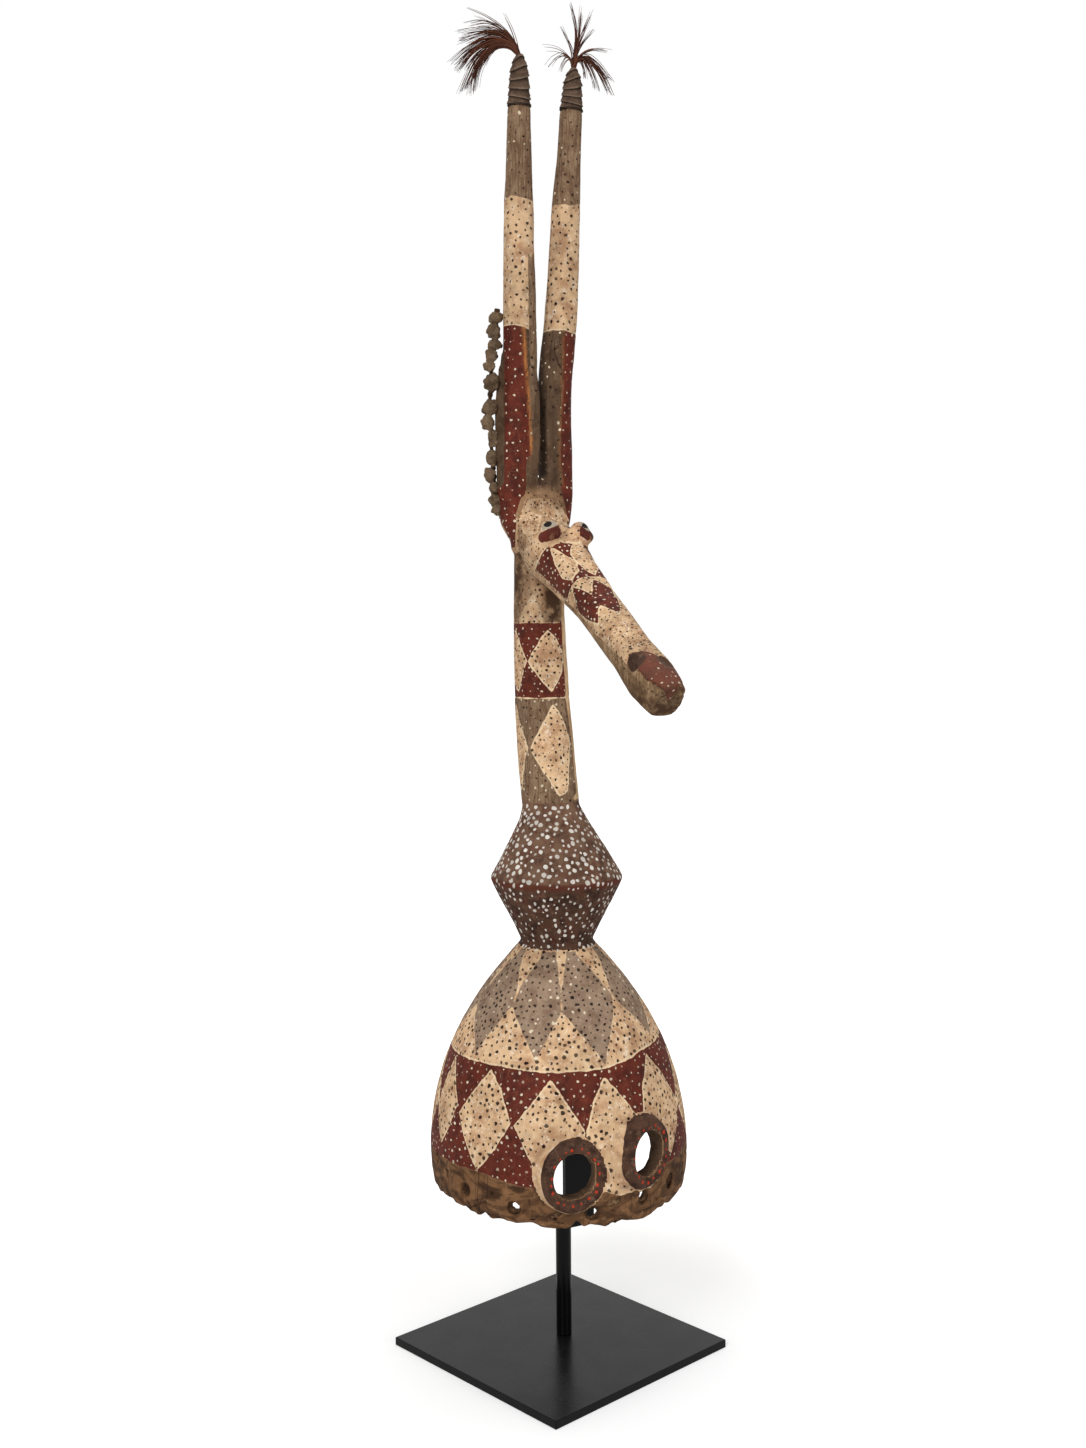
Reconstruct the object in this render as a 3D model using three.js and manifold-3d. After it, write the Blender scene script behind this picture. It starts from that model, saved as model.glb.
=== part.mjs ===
import * as THREE from 'three';
import { mergeVertices } from 'three/addons/utils/BufferGeometryUtils.js';
import Module from 'manifold-3d';

// A carved and painted antelope helmet mask on its steel display stand.
// Millimetres, +Z up, the antelope looks towards -Y, the floor is z = 0.
const wasm = await Module();
wasm.setup();

// Stand
const plateSide = 274;
const plateThickness = 9.5;
const plateBevel = 1;
const plateTurn = 15.1;
const gap = 0.3;
const rod = { x: 11, y: 10, radius: 9, top: 166 };
const bar = { left: 5, width: 33, thickness: 8, bottom: 142, headroom: 12 };

// Helmet dome: an ogive over a short upright wall
const dome = { radius: 148, rim: 206, rimTilt: 9, shoulder: 236, height: 285, power: 2.2, crown: 480, sides: 40 };
const wall = 13;
const innerCrown = 452;
const ridge = { radius: 76, z: 555, waist: 38, neck: 31, bottom: 478, top: 641, lean: 13, sides: 28 };
const eyeRing = { round: 5, depth: 46, sides: 24, relief: 9 };
const eyeRings = [
  { x: -60.5, y: -144, z: 257, turn: -3, outer: 38.4, bore: 24.6, length: 21 },
  { x: 28.5, y: -153, z: 271, turn: 21, outer: 37.8, bore: 24.6, length: 24 },
];
const rimBreak = { turn: 107, halfWidth: 46, height: 22 };
const rimHoles = [
  { turn: -96, up: 40, radius: 2.5 },
  { turn: -74, up: 27, radius: 4 },
  { turn: -48, up: 17, radius: 3.5 },
  { turn: -15, up: 13, radius: 3.5 },
  { turn: 10, up: 19, radius: 4 },
  { turn: 35, up: 24, radius: 4 },
];

// Neck, head and snout run along one plane of symmetry
const neckSpine = [[0, 11, 626], [0, 25, 706], [0, 34.5, 789], [0, 38, 872], [0, 37, 936]];
const neckGirth = [[0, 31.5], [0.25, 31.8], [0.75, 28.2], [1, 27]];
const headSpine = [[0, 58, 958], [0, 25, 940], [0, -30, 906], [0, -105, 858], [0, -180, 806], [0, -241, 765]];
const headHalfWidth = [[0, 16], [0.08, 28], [0.2, 32], [0.32, 26], [0.5, 22.5], [0.75, 21], [0.88, 23], [1, 16]];
const headHalfHeight = [[0, 14], [0.08, 25], [0.2, 31], [0.32, 26], [0.5, 20.5], [0.75, 20.5], [0.88, 24], [1, 20]];
const pollSpine = [[0, 42, 928], [0, 40, 965], [0, 34, 1004]];
const eyeball = { x: 18, y: -26, z: 944, halfWidth: 12, halfLength: 14, halfHeight: 15 };

// Horns: each leans out from the head to its bound tip
const hornGirth = [[0, 5], [0.06, 17], [0.12, 18.5], [0.4, 18.3], [0.55, 17.2], [0.72, 15.4],
  [0.82, 13.1], [0.9, 12.1], [1, 11.8]];
const horns = [
  { name: 'left', side: -1, girth: 1.02, wrapBottom: 1416, wrapTop: 1471.5 },
  { name: 'right', side: 1, girth: 1.01, wrapBottom: 1420, wrapTop: 1466.5 },
];
const hornRootZ = 928;
const hornPath = [[21, 42, 0], [27, 46, 0.12], [22.5, 37, 0.36], [26.5, 29, 0.5], [30, 22, 0.72], [34, 10, 1]];
const crest = { from: 958, to: 1160, depth: 10, halfWidth: 6, turn: 128 };

// Bound cloth, hair and the knotted mane
const wrapProfile = [[13, 0], [11.6, 20], [10.4, 38], [7.8, 49], [3.6, 58]];
const wrapThickness = 1.9;
const wrapSides = 14;
const mane = { from: 966, to: 1198, cord: 2.6, out: 23.3, bow: 9.5, twist: 36, knots: 15, knot: 6.6, knotOut: 6, stagger: 2 };

const woodPaint = new THREE.MeshStandardMaterial({ color: 0xb59a76, roughness: 0.8, metalness: 0 });
const blackSteel = new THREE.MeshStandardMaterial({ color: 0x2c2d2e, roughness: 0.5, metalness: 0.1 });
const blackRod = new THREE.MeshStandardMaterial({ color: 0x111214, roughness: 0.25, metalness: 0.1 });
const boundCloth = new THREE.MeshStandardMaterial({ color: 0x6a5c4d, roughness: 0.9, metalness: 0 });
const redHair = new THREE.MeshStandardMaterial({ color: 0x5a2c1b, roughness: 0.7, metalness: 0 });
const knotted = new THREE.MeshStandardMaterial({ color: 0x7b6d5a, roughness: 0.9, metalness: 0 });

const group = new THREE.Group();
const radians = THREE.MathUtils.degToRad;

function toSolid(geometry) {
  const bare = geometry.clone();
  bare.deleteAttribute('normal');
  bare.deleteAttribute('uv');
  const welded = mergeVertices(bare, 1e-4);
  return new wasm.Manifold(new wasm.Mesh({
    numProp: 3,
    vertProperties: new Float32Array(welded.attributes.position.array),
    triVerts: new Uint32Array(welded.index.array),
  }));
}

function toGeometry(solid) {
  const mesh = solid.getMesh();
  const geometry = new THREE.BufferGeometry();
  geometry.setAttribute('position', new THREE.BufferAttribute(mesh.vertProperties, 3));
  geometry.setIndex(new THREE.BufferAttribute(mesh.triVerts, 1));
  geometry.computeVertexNormals();
  return geometry;
}

function addPiece(name, geometry, material) {
  const mesh = new THREE.Mesh(geometry, material);
  mesh.name = name;
  group.add(mesh);
  return mesh;
}

// Value of a short list of [t, value] stations, eased between neighbours
function along(stations, t) {
  const last = stations.length - 1;
  const next = Math.min(Math.max(stations.findIndex(([at]) => at >= t), 1), last);
  const [t0, a] = stations[next - 1];
  const [t1, b] = stations[next];
  return THREE.MathUtils.lerp(a, b, THREE.MathUtils.clamp((t - t0) / (t1 - t0), 0, 1));
}

// A solid limb: a cylinder whose rings follow a spine, each with its own half width and depth
function limb(spine, halfWidth, halfDepth, { sides, steps, square = 2.3 }) {
  const curve = new THREE.CatmullRomCurve3(spine.map((point) => new THREE.Vector3(...point)));
  const geometry = new THREE.CylinderGeometry(1, 1, 1, sides, steps);
  const position = geometry.attributes.position;
  const acrossAxis = new THREE.Vector3(1, 0, 0);
  for (let i = 0; i < position.count; i += 1) {
    const t = position.getY(i) + 0.5;
    const sine = position.getX(i);
    const cosine = position.getZ(i);
    const tangent = curve.getTangentAt(t);
    const across = acrossAxis.clone().addScaledVector(tangent, -tangent.x).normalize();
    const back = new THREE.Vector3().crossVectors(tangent, across);
    const reach = Math.hypot(sine, cosine) < 0.5 ? 0
      : (Math.abs(sine) ** square + Math.abs(cosine) ** square) ** (-1 / square);
    const point = curve.getPointAt(t);
    point.addScaledVector(across, sine * reach * halfWidth(t));
    point.addScaledVector(back, -cosine * reach * halfDepth(t));
    position.setXYZ(i, point.x, point.y, point.z);
  }
  return toSolid(geometry);
}

// A turned body from its [radius, height] outline
function turned(outline, sides) {
  const geometry = new THREE.LatheGeometry(outline.map(([r, z]) => new THREE.Vector2(r, z)), sides);
  return geometry.rotateX(Math.PI / 2);
}

// Radius of the dome at a height above the floor
function domeRadius(z) {
  const rise = Math.max(z - dome.shoulder, 0) / dome.height;
  const tuckIn = 3 * (Math.max(dome.shoulder - z, 0) / (dome.shoulder - dome.rim)) ** 2;
  return dome.radius * (1 - rise ** dome.power) - tuckIn;
}

function domeOutline(bottom, top, inset, steps) {
  const outline = [[0, bottom]];
  for (let i = 0; i <= steps; i += 1) {
    const z = THREE.MathUtils.lerp(bottom, top, (i / steps) ** 0.85);
    outline.push([domeRadius(z) - inset * (1 + 0.7 * ((z - bottom) / (top - bottom)) ** 2), z]);
  }
  outline.push([0, top]);
  return outline;
}

function bicone() {
  const collar = 7;
  const geometry = turned([
    [0, ridge.bottom - 14], [ridge.waist, ridge.bottom - 14], [ridge.waist, ridge.bottom],
    [ridge.radius, ridge.z - 1], [ridge.radius, ridge.z + 1],
    [ridge.neck + collar, ridge.top - 18], [ridge.neck, ridge.top], [0, ridge.top],
  ], ridge.sides);
  const position = geometry.attributes.position;
  for (let i = 0; i < position.count; i += 1) {
    const rise = Math.max(position.getZ(i) - ridge.z, 0) / (ridge.top - ridge.z);
    position.setY(i, position.getY(i) + ridge.lean * rise ** 2);
  }
  return toSolid(geometry);
}

function ringSolid(place, outline) {
  const geometry = turned(outline, eyeRing.sides);
  geometry.rotateX(Math.PI / 2).rotateZ(radians(place.turn)).translate(place.x, place.y, place.z);
  return toSolid(geometry);
}

function eyeTube(place) {
  const { round, depth } = eyeRing;
  const { outer } = place;
  return ringSolid(place, [[0, -depth], [outer, -depth], [outer, -round], [outer - round * 0.3, -round * 0.3],
    [outer - round, 0], [0, 0]]);
}

// The hole, opened wider behind the ring so that its wall keeps one length all round
function eyeBore(place) {
  const { depth, relief } = eyeRing;
  const { length } = place;
  const past = 8;
  const inner = -depth - past;
  const wide = place.bore + relief;
  return ringSolid(place, [[0, inner], [wide, inner], [wide, -length], [place.bore, -length],
    [place.bore, past], [0, past]]);
}

// The rim is lowest at the front and climbs towards the back
function rimHeight(turn) {
  return dome.rim - dome.rimTilt * Math.cos(radians(turn));
}

function belowRim() {
  const block = new THREE.BoxGeometry(3 * dome.radius, 3 * dome.radius, 60).translate(0, 0, -30);
  return toSolid(block.rotateX(Math.atan(dome.rimTilt / dome.radius)).translate(0, 0, dome.rim));
}

// Worn holes and bites along the bare lower rim
function rimWear() {
  const cutters = rimHoles.map(({ turn, up, radius }) => {
    const pin = new THREE.CylinderGeometry(radius, radius, 60, 8);
    pin.translate(0, -dome.radius, rimHeight(turn) + up).rotateZ(radians(turn));
    return toSolid(pin);
  });
  const broken = new THREE.CylinderGeometry(1, 1, 60, 12);
  broken.scale(rimBreak.halfWidth, 1, rimBreak.height);
  broken.translate(0, -dome.radius, rimHeight(rimBreak.turn)).rotateZ(radians(rimBreak.turn));
  cutters.push(toSolid(broken));
  const bites = 14;
  for (let i = 0; i < bites; i += 1) {
    const turn = (i + 0.3 * Math.sin(i * 5)) * 360 / bites;
    const bite = new THREE.CylinderGeometry(1, 1, 60, 6);
    bite.scale(7 + 4 * Math.sin(i * 2.3), 1, 2.2 + 1.4 * Math.cos(i * 1.7));
    cutters.push(toSolid(bite.translate(0, -dome.radius, rimHeight(turn)).rotateZ(radians(turn))));
  }
  return cutters;
}

function helmet() {
  const floor = dome.rim - 2 * dome.rimTilt;
  let solid = toSolid(turned(domeOutline(floor, dome.crown, 0, 11), dome.sides));
  eyeRings.forEach((place) => { solid = solid.add(eyeTube(place)); });
  solid = solid.subtract(toSolid(turned(domeOutline(floor - 6, innerCrown, wall, 7), dome.sides)));
  solid = solid.subtract(belowRim());
  eyeRings.forEach((place) => { solid = solid.subtract(eyeBore(place)); });
  rimWear().forEach((cutter) => { solid = solid.subtract(cutter); });
  return solid.add(bicone());
}

function hornSpine({ side, wrapTop }) {
  const tip = wrapTop - 7;
  return hornPath.map(([x, y, t]) => [side * x, y, THREE.MathUtils.lerp(hornRootZ, tip, t)]);
}

// A lens-shaped ridge down the outer back of the horn's lower half
function crestSolid(horn) {
  const { from, to, depth, halfWidth, turn } = crest;
  const lens = new THREE.SphereGeometry(1, 8, 8);
  lens.scale(halfWidth, 18 + depth, (to - from) / 2).rotateZ(radians(horn.side * (turn - 180)));
  return toSolid(lens.translate(horn.side * 25, 39, (from + to) / 2));
}

// The horn's tip is pared down to fill the wrap, clear of it all round
function hornSolid(horn) {
  const girth = (t) => horn.girth * along(hornGirth, t);
  const blank = limb(hornSpine(horn), girth, girth, { sides: 12, steps: 20, square: 2.5 });
  const reach = 120;
  const above = turned([[0, -gap], [reach, -gap], [reach, reach], [0, reach]], 8);
  const inside = wrapOutline(horn, wrapThickness + gap).slice(0, -1);
  const core = turned([[0, -8], [inside[0][0], -8], ...inside, [0, inside.at(-1)[1]]], wrapSides);
  const seat = wrapPlace(horn);
  const tip = blank.intersect(toSolid(core.applyMatrix4(seat)));
  return blank.subtract(toSolid(above.applyMatrix4(seat))).add(tip).add(crestSolid(horn));
}

function eyeSolid(side) {
  const ball = new THREE.SphereGeometry(1, 12, 8);
  ball.scale(eyeball.halfWidth, eyeball.halfLength, eyeball.halfHeight);
  return toSolid(ball.translate(side * eyeball.x, eyeball.y, eyeball.z));
}

function carving() {
  const neck = limb(neckSpine, (t) => along(neckGirth, t), (t) => along(neckGirth, t), { sides: 16, steps: 6 });
  const head = limb(headSpine, (t) => along(headHalfWidth, t), (t) => along(headHalfHeight, t),
    { sides: 16, steps: 14, square: 2.7 });
  const poll = limb(pollSpine, (t) => 30 + 26 * t * (1 - t) - 4 * t, (t) => 24 + 30 * t * (1 - t) - 6 * t,
    { sides: 12, steps: 4, square: 2.4 });
  let solid = helmet().add(neck).add(head).add(poll);
  horns.forEach((horn) => { solid = solid.add(hornSolid(horn)); });
  [-1, 1].forEach((side) => { solid = solid.add(eyeSolid(side)); });
  return solid;
}

// Where a horn's axis is at a height, and which way it runs there
function hornAt(horn, z) {
  const curve = new THREE.CatmullRomCurve3(hornSpine(horn).map((point) => new THREE.Vector3(...point)));
  let low = 0;
  let high = 1;
  for (let i = 0; i < 24; i += 1) {
    const middle = (low + high) / 2;
    if (curve.getPointAt(middle).z < z) low = middle; else high = middle;
  }
  return { point: curve.getPointAt(low), tangent: curve.getTangentAt(low) };
}

// Outline of the bound cloth, moved in towards the horn by an inset
function wrapOutline(horn, inset) {
  const scale = (horn.wrapTop - horn.wrapBottom) / wrapProfile.at(-1)[1];
  return wrapProfile.map(([r, z]) => [r * horn.girth - inset, z * scale]);
}

function wrapPlace(horn) {
  const { point, tangent } = hornAt(horn, horn.wrapBottom);
  const turn = new THREE.Quaternion().setFromUnitVectors(new THREE.Vector3(0, 0, 1), tangent);
  return new THREE.Matrix4().compose(point, turn, new THREE.Vector3(1, 1, 1));
}

function addWraps() {
  horns.forEach((horn) => {
    const outer = wrapOutline(horn, 0);
    const ring = [...outer, ...wrapOutline(horn, wrapThickness).reverse(), outer[0]];
    const wrap = addPiece(`horn_wrap_${horn.name}`, turned(ring, wrapSides), boundCloth);
    wrap.applyMatrix4(wrapPlace(horn));
  });
}

// Hair plumes as plain closed forms that hold the space of the strands
function addTufts() {
  const [left, right] = horns.map((horn) => {
    const crownOfWrap = wrapOutline(horn, 0).at(-1)[1] + gap;
    return new THREE.Vector3(0, 0, crownOfWrap).applyMatrix4(wrapPlace(horn));
  });
  const plume = [[0, 0, 0], [0, 0, 4], [-9, 5, 14], [-21, 11, 20], [-35, 19, 14], [-45, 24, -3], [-52, 28, -30]]
    .map(([x, y, z]) => [left.x + x, left.y + y, left.z + z]);
  const root = 2.5;
  const fan = (t) => root + 10 * Math.sin(Math.PI * t * 0.78) ** 2;
  addPiece('hair_tuft_left', toGeometry(limb(plume, (t) => fan(t) * 0.7, fan, { sides: 8, steps: 9 })), redHair);
  const lobe = (points, size, start) => limb(
    points.map(([x, y, z]) => [right.x + x, right.y + y, right.z + z]),
    (t) => start + size * Math.sin(0.9 * Math.PI * t), (t) => start + size * Math.sin(0.9 * Math.PI * t),
    { sides: 6, steps: 6 });
  const burst = lobe([[0, 0, 0], [0, 0, 4], [3, -1, 32], [5, -2, 62]], 7, root)
    .add(lobe([[0.3, 0, 2], [1, 0, 6], [9, -4, 16], [25, -13, 10], [37, -19, -20]], 6, root * 0.8))
    .add(lobe([[-0.3, 0, 3], [-1, 0, 7], [-5, 2, 13], [-14, 7, 16], [-28, 14, 12]], 3, root * 0.7));
  addPiece('hair_tuft_right', toGeometry(burst), redHair);
}

// A cord tied down the back of the left horn, thick with knots
function addMane() {
  const horn = horns[0];
  const at = (t, extra) => {
    const z = THREE.MathUtils.lerp(mane.from, mane.to, t);
    const turn = radians(crest.turn + mane.twist * (1 - t) ** 2);
    const outward = new THREE.Vector3(-Math.sin(turn), -Math.cos(turn), 0);
    const out = mane.out + mane.bow * Math.sin(Math.PI * t ** 1.3);
    return hornAt(horn, z).point.setZ(z).addScaledVector(outward, out + extra);
  };
  const spine = Array.from({ length: 9 }, (_, i) => at(i / 8, 0).toArray());
  let solid = limb(spine, () => mane.cord, () => mane.cord, { sides: 6, steps: 14, square: 2 });
  for (let i = 0; i < mane.knots; i += 1) {
    const t = (i + 0.5 + 0.2 * Math.sin(i * 2.1)) / mane.knots;
    const knot = new THREE.IcosahedronGeometry(mane.knot * (1 + 0.12 * Math.sin(i * 3.7)), 0);
    const centre = at(t, mane.knotOut + mane.stagger * Math.cos(i * 2.7));
    solid = solid.add(toSolid(knot.rotateX(i).rotateZ(i * 2).translate(centre.x, centre.y, centre.z)));
  }
  addPiece('mane', toGeometry(solid), knotted);
}

function addStand() {
  const half = plateSide / 2;
  const outline = new THREE.Shape([[-1, -1], [1, -1], [1, 1], [-1, 1]]
    .map(([x, y]) => new THREE.Vector2(x * (half - plateBevel), y * (half - plateBevel))));
  const slab = new THREE.ExtrudeGeometry(outline, {
    depth: plateThickness - 2 * plateBevel, bevelEnabled: true, bevelThickness: plateBevel,
    bevelSize: plateBevel, bevelSegments: 1,
  });
  slab.translate(0, 0, plateBevel).rotateZ(radians(plateTurn));
  addPiece('base_plate', slab, blackSteel);
  const rodBottom = plateThickness + gap;
  const rodMesh = addPiece('stand_rod', new THREE.CylinderGeometry(rod.radius, rod.radius, rod.top - rodBottom, 24)
    .rotateX(Math.PI / 2), blackRod);
  rodMesh.position.set(rod.x, rod.y, (rod.top + rodBottom) / 2);
  const barTop = innerCrown - bar.headroom;
  const back = rod.y - rod.radius - gap;
  const upright = toSolid(new THREE.BoxGeometry(bar.width, bar.thickness, barTop - bar.bottom)
    .translate(bar.left + bar.width / 2, back - bar.thickness / 2, (barTop + bar.bottom) / 2));
  addPiece('mount_bar', toGeometry(upright), blackRod);
}

addPiece('mask_carving', toGeometry(carving()), woodPaint);
addStand();
addWraps();
addTufts();
addMane();

export default group;
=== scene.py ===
import math
import random

import bpy
import numpy as np
from mathutils import Matrix, Vector, kdtree, noise


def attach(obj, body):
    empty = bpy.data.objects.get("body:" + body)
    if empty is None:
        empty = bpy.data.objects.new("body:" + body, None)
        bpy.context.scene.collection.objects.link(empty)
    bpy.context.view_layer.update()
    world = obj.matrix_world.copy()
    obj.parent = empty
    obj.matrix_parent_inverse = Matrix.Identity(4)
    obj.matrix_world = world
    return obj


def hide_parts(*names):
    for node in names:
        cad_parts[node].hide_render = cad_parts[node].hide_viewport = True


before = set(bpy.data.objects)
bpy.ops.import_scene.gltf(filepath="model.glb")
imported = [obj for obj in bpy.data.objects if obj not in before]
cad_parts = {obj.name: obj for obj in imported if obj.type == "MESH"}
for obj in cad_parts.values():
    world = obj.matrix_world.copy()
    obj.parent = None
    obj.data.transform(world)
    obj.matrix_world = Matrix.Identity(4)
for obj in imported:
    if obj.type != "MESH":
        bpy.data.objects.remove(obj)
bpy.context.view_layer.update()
scene = bpy.context.scene
mm = 0.001  # the frame is in metres, the lists below are in millimetres
print("frame loaded:", ", ".join(sorted(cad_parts)))


# Camera: at the photograph's angle, turned a little about its own axis
view = {
    "place": (-866.4, -1599.1, 857.8),
    "azimuth": -28.0,
    "down": 4.004,
    "roll": -0.45,
    "focalPixels": 1600.0,
    "imageHeight": 1448,
    "sensor": 36,
}


def addCamera():
    camera = bpy.data.objects.new("camera", bpy.data.cameras.new("camera"))
    scene.collection.objects.link(camera)
    turn, dip, roll = (math.radians(view[k]) for k in ("azimuth", "down", "roll"))
    right = Vector((math.cos(turn), math.sin(turn), 0))
    level = Vector((-math.sin(turn), math.cos(turn), 0))
    ahead = level * math.cos(dip) - Vector((0, 0, math.sin(dip)))
    up = level * math.sin(dip) + Vector((0, 0, math.cos(dip)))
    across = right * math.cos(roll) + up * math.sin(roll)
    above = up * math.cos(roll) - right * math.sin(roll)
    axes = Matrix((across, above, -ahead)).transposed().to_4x4()
    camera.matrix_world = Matrix.Translation(Vector(view["place"]) * mm) @ axes
    camera.data.sensor_fit = "VERTICAL"
    camera.data.sensor_height = view["sensor"]
    camera.data.lens = view["sensor"] * view["focalPixels"] / view["imageHeight"]
    camera.data.clip_end = 20
    scene.camera = camera
    return right, level


pictureRight, pictureAway = (np.array(v) for v in addCamera())
print("camera placed")


# Shapes
class Path:  # a smooth curve through points, measured along its length from 0 to 1
    def __init__(self, points, perSpan=40):
        p = np.array(points, float)
        ends = np.vstack([2 * p[0] - p[1], p, 2 * p[-1] - p[-2]])
        pieces = []
        for a, b, c, d in zip(ends, ends[1:], ends[2:], ends[3:]):
            ta, tb, tc = (max(np.linalg.norm(v), 1e-6) ** 0.5 for v in (b - a, c - b, d - c))
            leave = ((b - a) / ta - (c - a) / (ta + tb) + (c - b) / tb) * tb
            arrive = ((c - b) / tb - (d - b) / (tb + tc) + (d - c) / tc) * tb
            s = np.linspace(0, 1, perSpan, endpoint=False)[:, None]
            pieces.append(b + leave * s + (3 * (c - b) - 2 * leave - arrive) * s**2
                          + (2 * (b - c) + leave + arrive) * s**3)
        self.line = np.vstack([*pieces, p[-1:]])
        steps = np.linalg.norm(np.diff(self.line, axis=0), axis=1)
        self.length = steps.sum()
        self.t = np.concatenate([[0], np.cumsum(steps)]) / self.length

    def at(self, t):
        return np.column_stack([np.interp(t, self.t, self.line[:, k]) for k in range(3)])

    def heading(self, t):
        way = self.at(np.clip(t + 0.004, 0, 1)) - self.at(np.clip(t - 0.004, 0, 1))
        return way / np.linalg.norm(way, axis=1)[:, None]

    def nearest(self, points):  # how far along the path each point lies
        best = np.full(len(points), 1e9)
        t = np.zeros(len(points))
        for step, place in zip(self.t[::2], self.line[::2]):
            away = ((points - place) ** 2).sum(1)
            closer = away < best
            best[closer], t[closer] = away[closer], step
        return t


def profile(pairs):  # a measure given at some stations of a path, read anywhere along it
    at, values = zip(*pairs)
    return lambda t: np.interp(t, at, values)


def azimuth(x, y):
    return np.degrees(np.arctan2(x, -y))


def wrapped(angle):
    return (angle + 180) % 360 - 180


def facing(turn):  # level directions sideways and outward, for a face turned this far from -Y
    a = math.radians(turn)
    return np.array([math.cos(a), math.sin(a), 0]), np.array([math.sin(a), -math.cos(a), 0])


def rough(points, size, seed, octaves=1):  # smooth noise from about -1 to 1 at each point
    total = np.zeros(len(points))
    for octave in range(octaves):
        shifted = points * (2**octave / size) + (seed * 17.3, seed * 5.1, -seed * 9.7)
        total += 0.5**octave * np.array([noise.noise(p) for p in shifted.tolist()])
    return total


def skin(rows, loop=False):  # a closed surface over a stack of rings
    count, sides = rows.shape[:2]
    i = np.arange(count if loop else count - 1)[:, None]
    j = np.arange(sides)[None]
    after, beside = (i + 1) % count, (j + 1) % sides
    quads = np.stack([i * sides + j, i * sides + beside, after * sides + beside, after * sides + j], -1)
    faces = quads.reshape(-1, 4).tolist()
    if not loop:
        faces += [list(range(sides))[::-1], list(range((count - 1) * sides, count * sides))]
    return rows.reshape(-1, 3), faces


def crossAxes(heading):
    across = np.array([1.0, 0, 0]) - heading * heading[:, :1]
    across /= np.linalg.norm(across, axis=1)[:, None]
    return across, np.cross(heading, across)


def limb(path, halfWidth, halfDepth, sides, steps, square=2.3, shape=None):
    t = np.linspace(0, 1, steps + 1)
    centre, heading = path.at(t), path.heading(t)
    across, back = crossAxes(heading)
    turn = np.linspace(0, 2 * math.pi, sides, endpoint=False)[None]
    sine, cosine = np.sin(turn), np.cos(turn)
    reach = (abs(sine) ** square + abs(cosine) ** square) ** (-1 / square)
    if shape:
        reach = reach * shape(t[:, None], np.degrees(turn), centre)
    wide = (sine * reach * halfWidth(t)[:, None])[..., None]
    deep = (cosine * reach * halfDepth(t)[:, None])[..., None]
    return skin(centre[:, None] + across[:, None] * wide - back[:, None] * deep)


def lathe(outline, sides, place=(0, 0, 0), turn=None, loop=False, wobble=0.0):
    # outline is [radius, height]; with a turn, the axis lies level and faces that way from -Y
    side, up, out = np.eye(3)
    if turn is not None:
        up = out
        side, out = facing(turn)
    outline = np.array(outline, float)
    angle = np.linspace(0, 2 * math.pi, sides, endpoint=False)
    ripple = 1 + wobble * (np.sin(2 * angle + 0.7) + 0.7 * np.sin(3 * angle + 2) + 0.4 * np.sin(7 * angle))
    radius = outline[:, :1] * ripple[None]
    rows = (np.array(place, float) + radius[..., None] * (np.cos(angle)[:, None] * side + np.sin(angle)[:, None] * up)
            + outline[:, 1][:, None, None] * out)
    return skin(rows, loop)


def ball(centre, radii, rows=14, sides=24):
    lift = np.linspace(-0.49, 0.49, rows) * math.pi
    return skin(np.array([[[centre[0] + radii[0] * math.cos(v) * math.sin(a),
                            centre[1] - radii[1] * math.cos(v) * math.cos(a),
                            centre[2] + radii[2] * math.sin(v)]
                           for a in np.linspace(0, 2 * math.pi, sides, endpoint=False)] for v in lift]))


def meshPiece(name, *parts):
    points, faces, start = [], [], 0
    for verts, polygons in parts:
        points.append(np.asarray(verts, float))
        faces += [[start + k for k in face] for face in polygons]
        start += len(verts)
    mesh = bpy.data.meshes.new(name)
    mesh.from_pydata((np.vstack(points) * mm).tolist(), [], faces)
    piece = bpy.data.objects.new(name, mesh)
    scene.collection.objects.link(piece)
    return piece


def settle(piece):  # applies the piece's modifiers to its mesh
    graph = bpy.context.evaluated_depsgraph_get()
    mesh = bpy.data.meshes.new_from_object(piece.evaluated_get(graph))
    piece.modifiers.clear()
    old, piece.data = piece.data, mesh
    bpy.data.meshes.remove(old)
    mesh.name = piece.name


def cutAway(piece, *parts):
    tool = meshPiece("cutter", *parts)
    change = piece.modifiers.new("cut", "BOOLEAN")
    change.operation, change.solver, change.object = "DIFFERENCE", "EXACT", tool
    settle(piece)
    bpy.data.objects.remove(tool)


def fuse(piece, voxel):
    change = piece.modifiers.new("fuse", "REMESH")
    change.mode, change.voxel_size = "VOXEL", voxel * mm
    settle(piece)


def points(mesh, what="co"):
    values = np.zeros(len(mesh.vertices) * 3)
    mesh.vertices.foreach_get(what, values)
    return values.reshape(-1, 3)


def moveTo(mesh, places):
    mesh.vertices.foreach_set("co", (places * mm).ravel())
    mesh.update()


def partsOf(piece):
    return points(piece.data) / mm, [list(p.vertices) for p in piece.data.polygons]


def neighbourMean(mesh, values):
    edges = np.zeros(len(mesh.edges) * 2, int)
    mesh.edges.foreach_get("vertices", edges)
    a, b = edges.reshape(-1, 2).T
    count = len(mesh.vertices)
    share = np.bincount(a, minlength=count) + np.bincount(b, minlength=count)
    columns = values.reshape(count, -1).T
    total = [np.bincount(a, weights=v[b], minlength=count) + np.bincount(b, weights=v[a], minlength=count)
             for v in columns]
    return (np.column_stack(total) / np.maximum(share, 1)[:, None]).reshape(values.shape)


def eased(mesh):  # each point drawn half way to the mean of its neighbours
    at = points(mesh) / mm
    return at + 0.5 * (neighbourMean(mesh, at) - at)


def store(mesh, name, values, domain="POINT"):
    kind, field = ("FLOAT_VECTOR", "vector") if values.ndim == 2 else ("FLOAT", "value")
    layer = mesh.attributes.new(name, kind, domain)
    layer.data.foreach_set(field, values.astype(np.float32).ravel())


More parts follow.
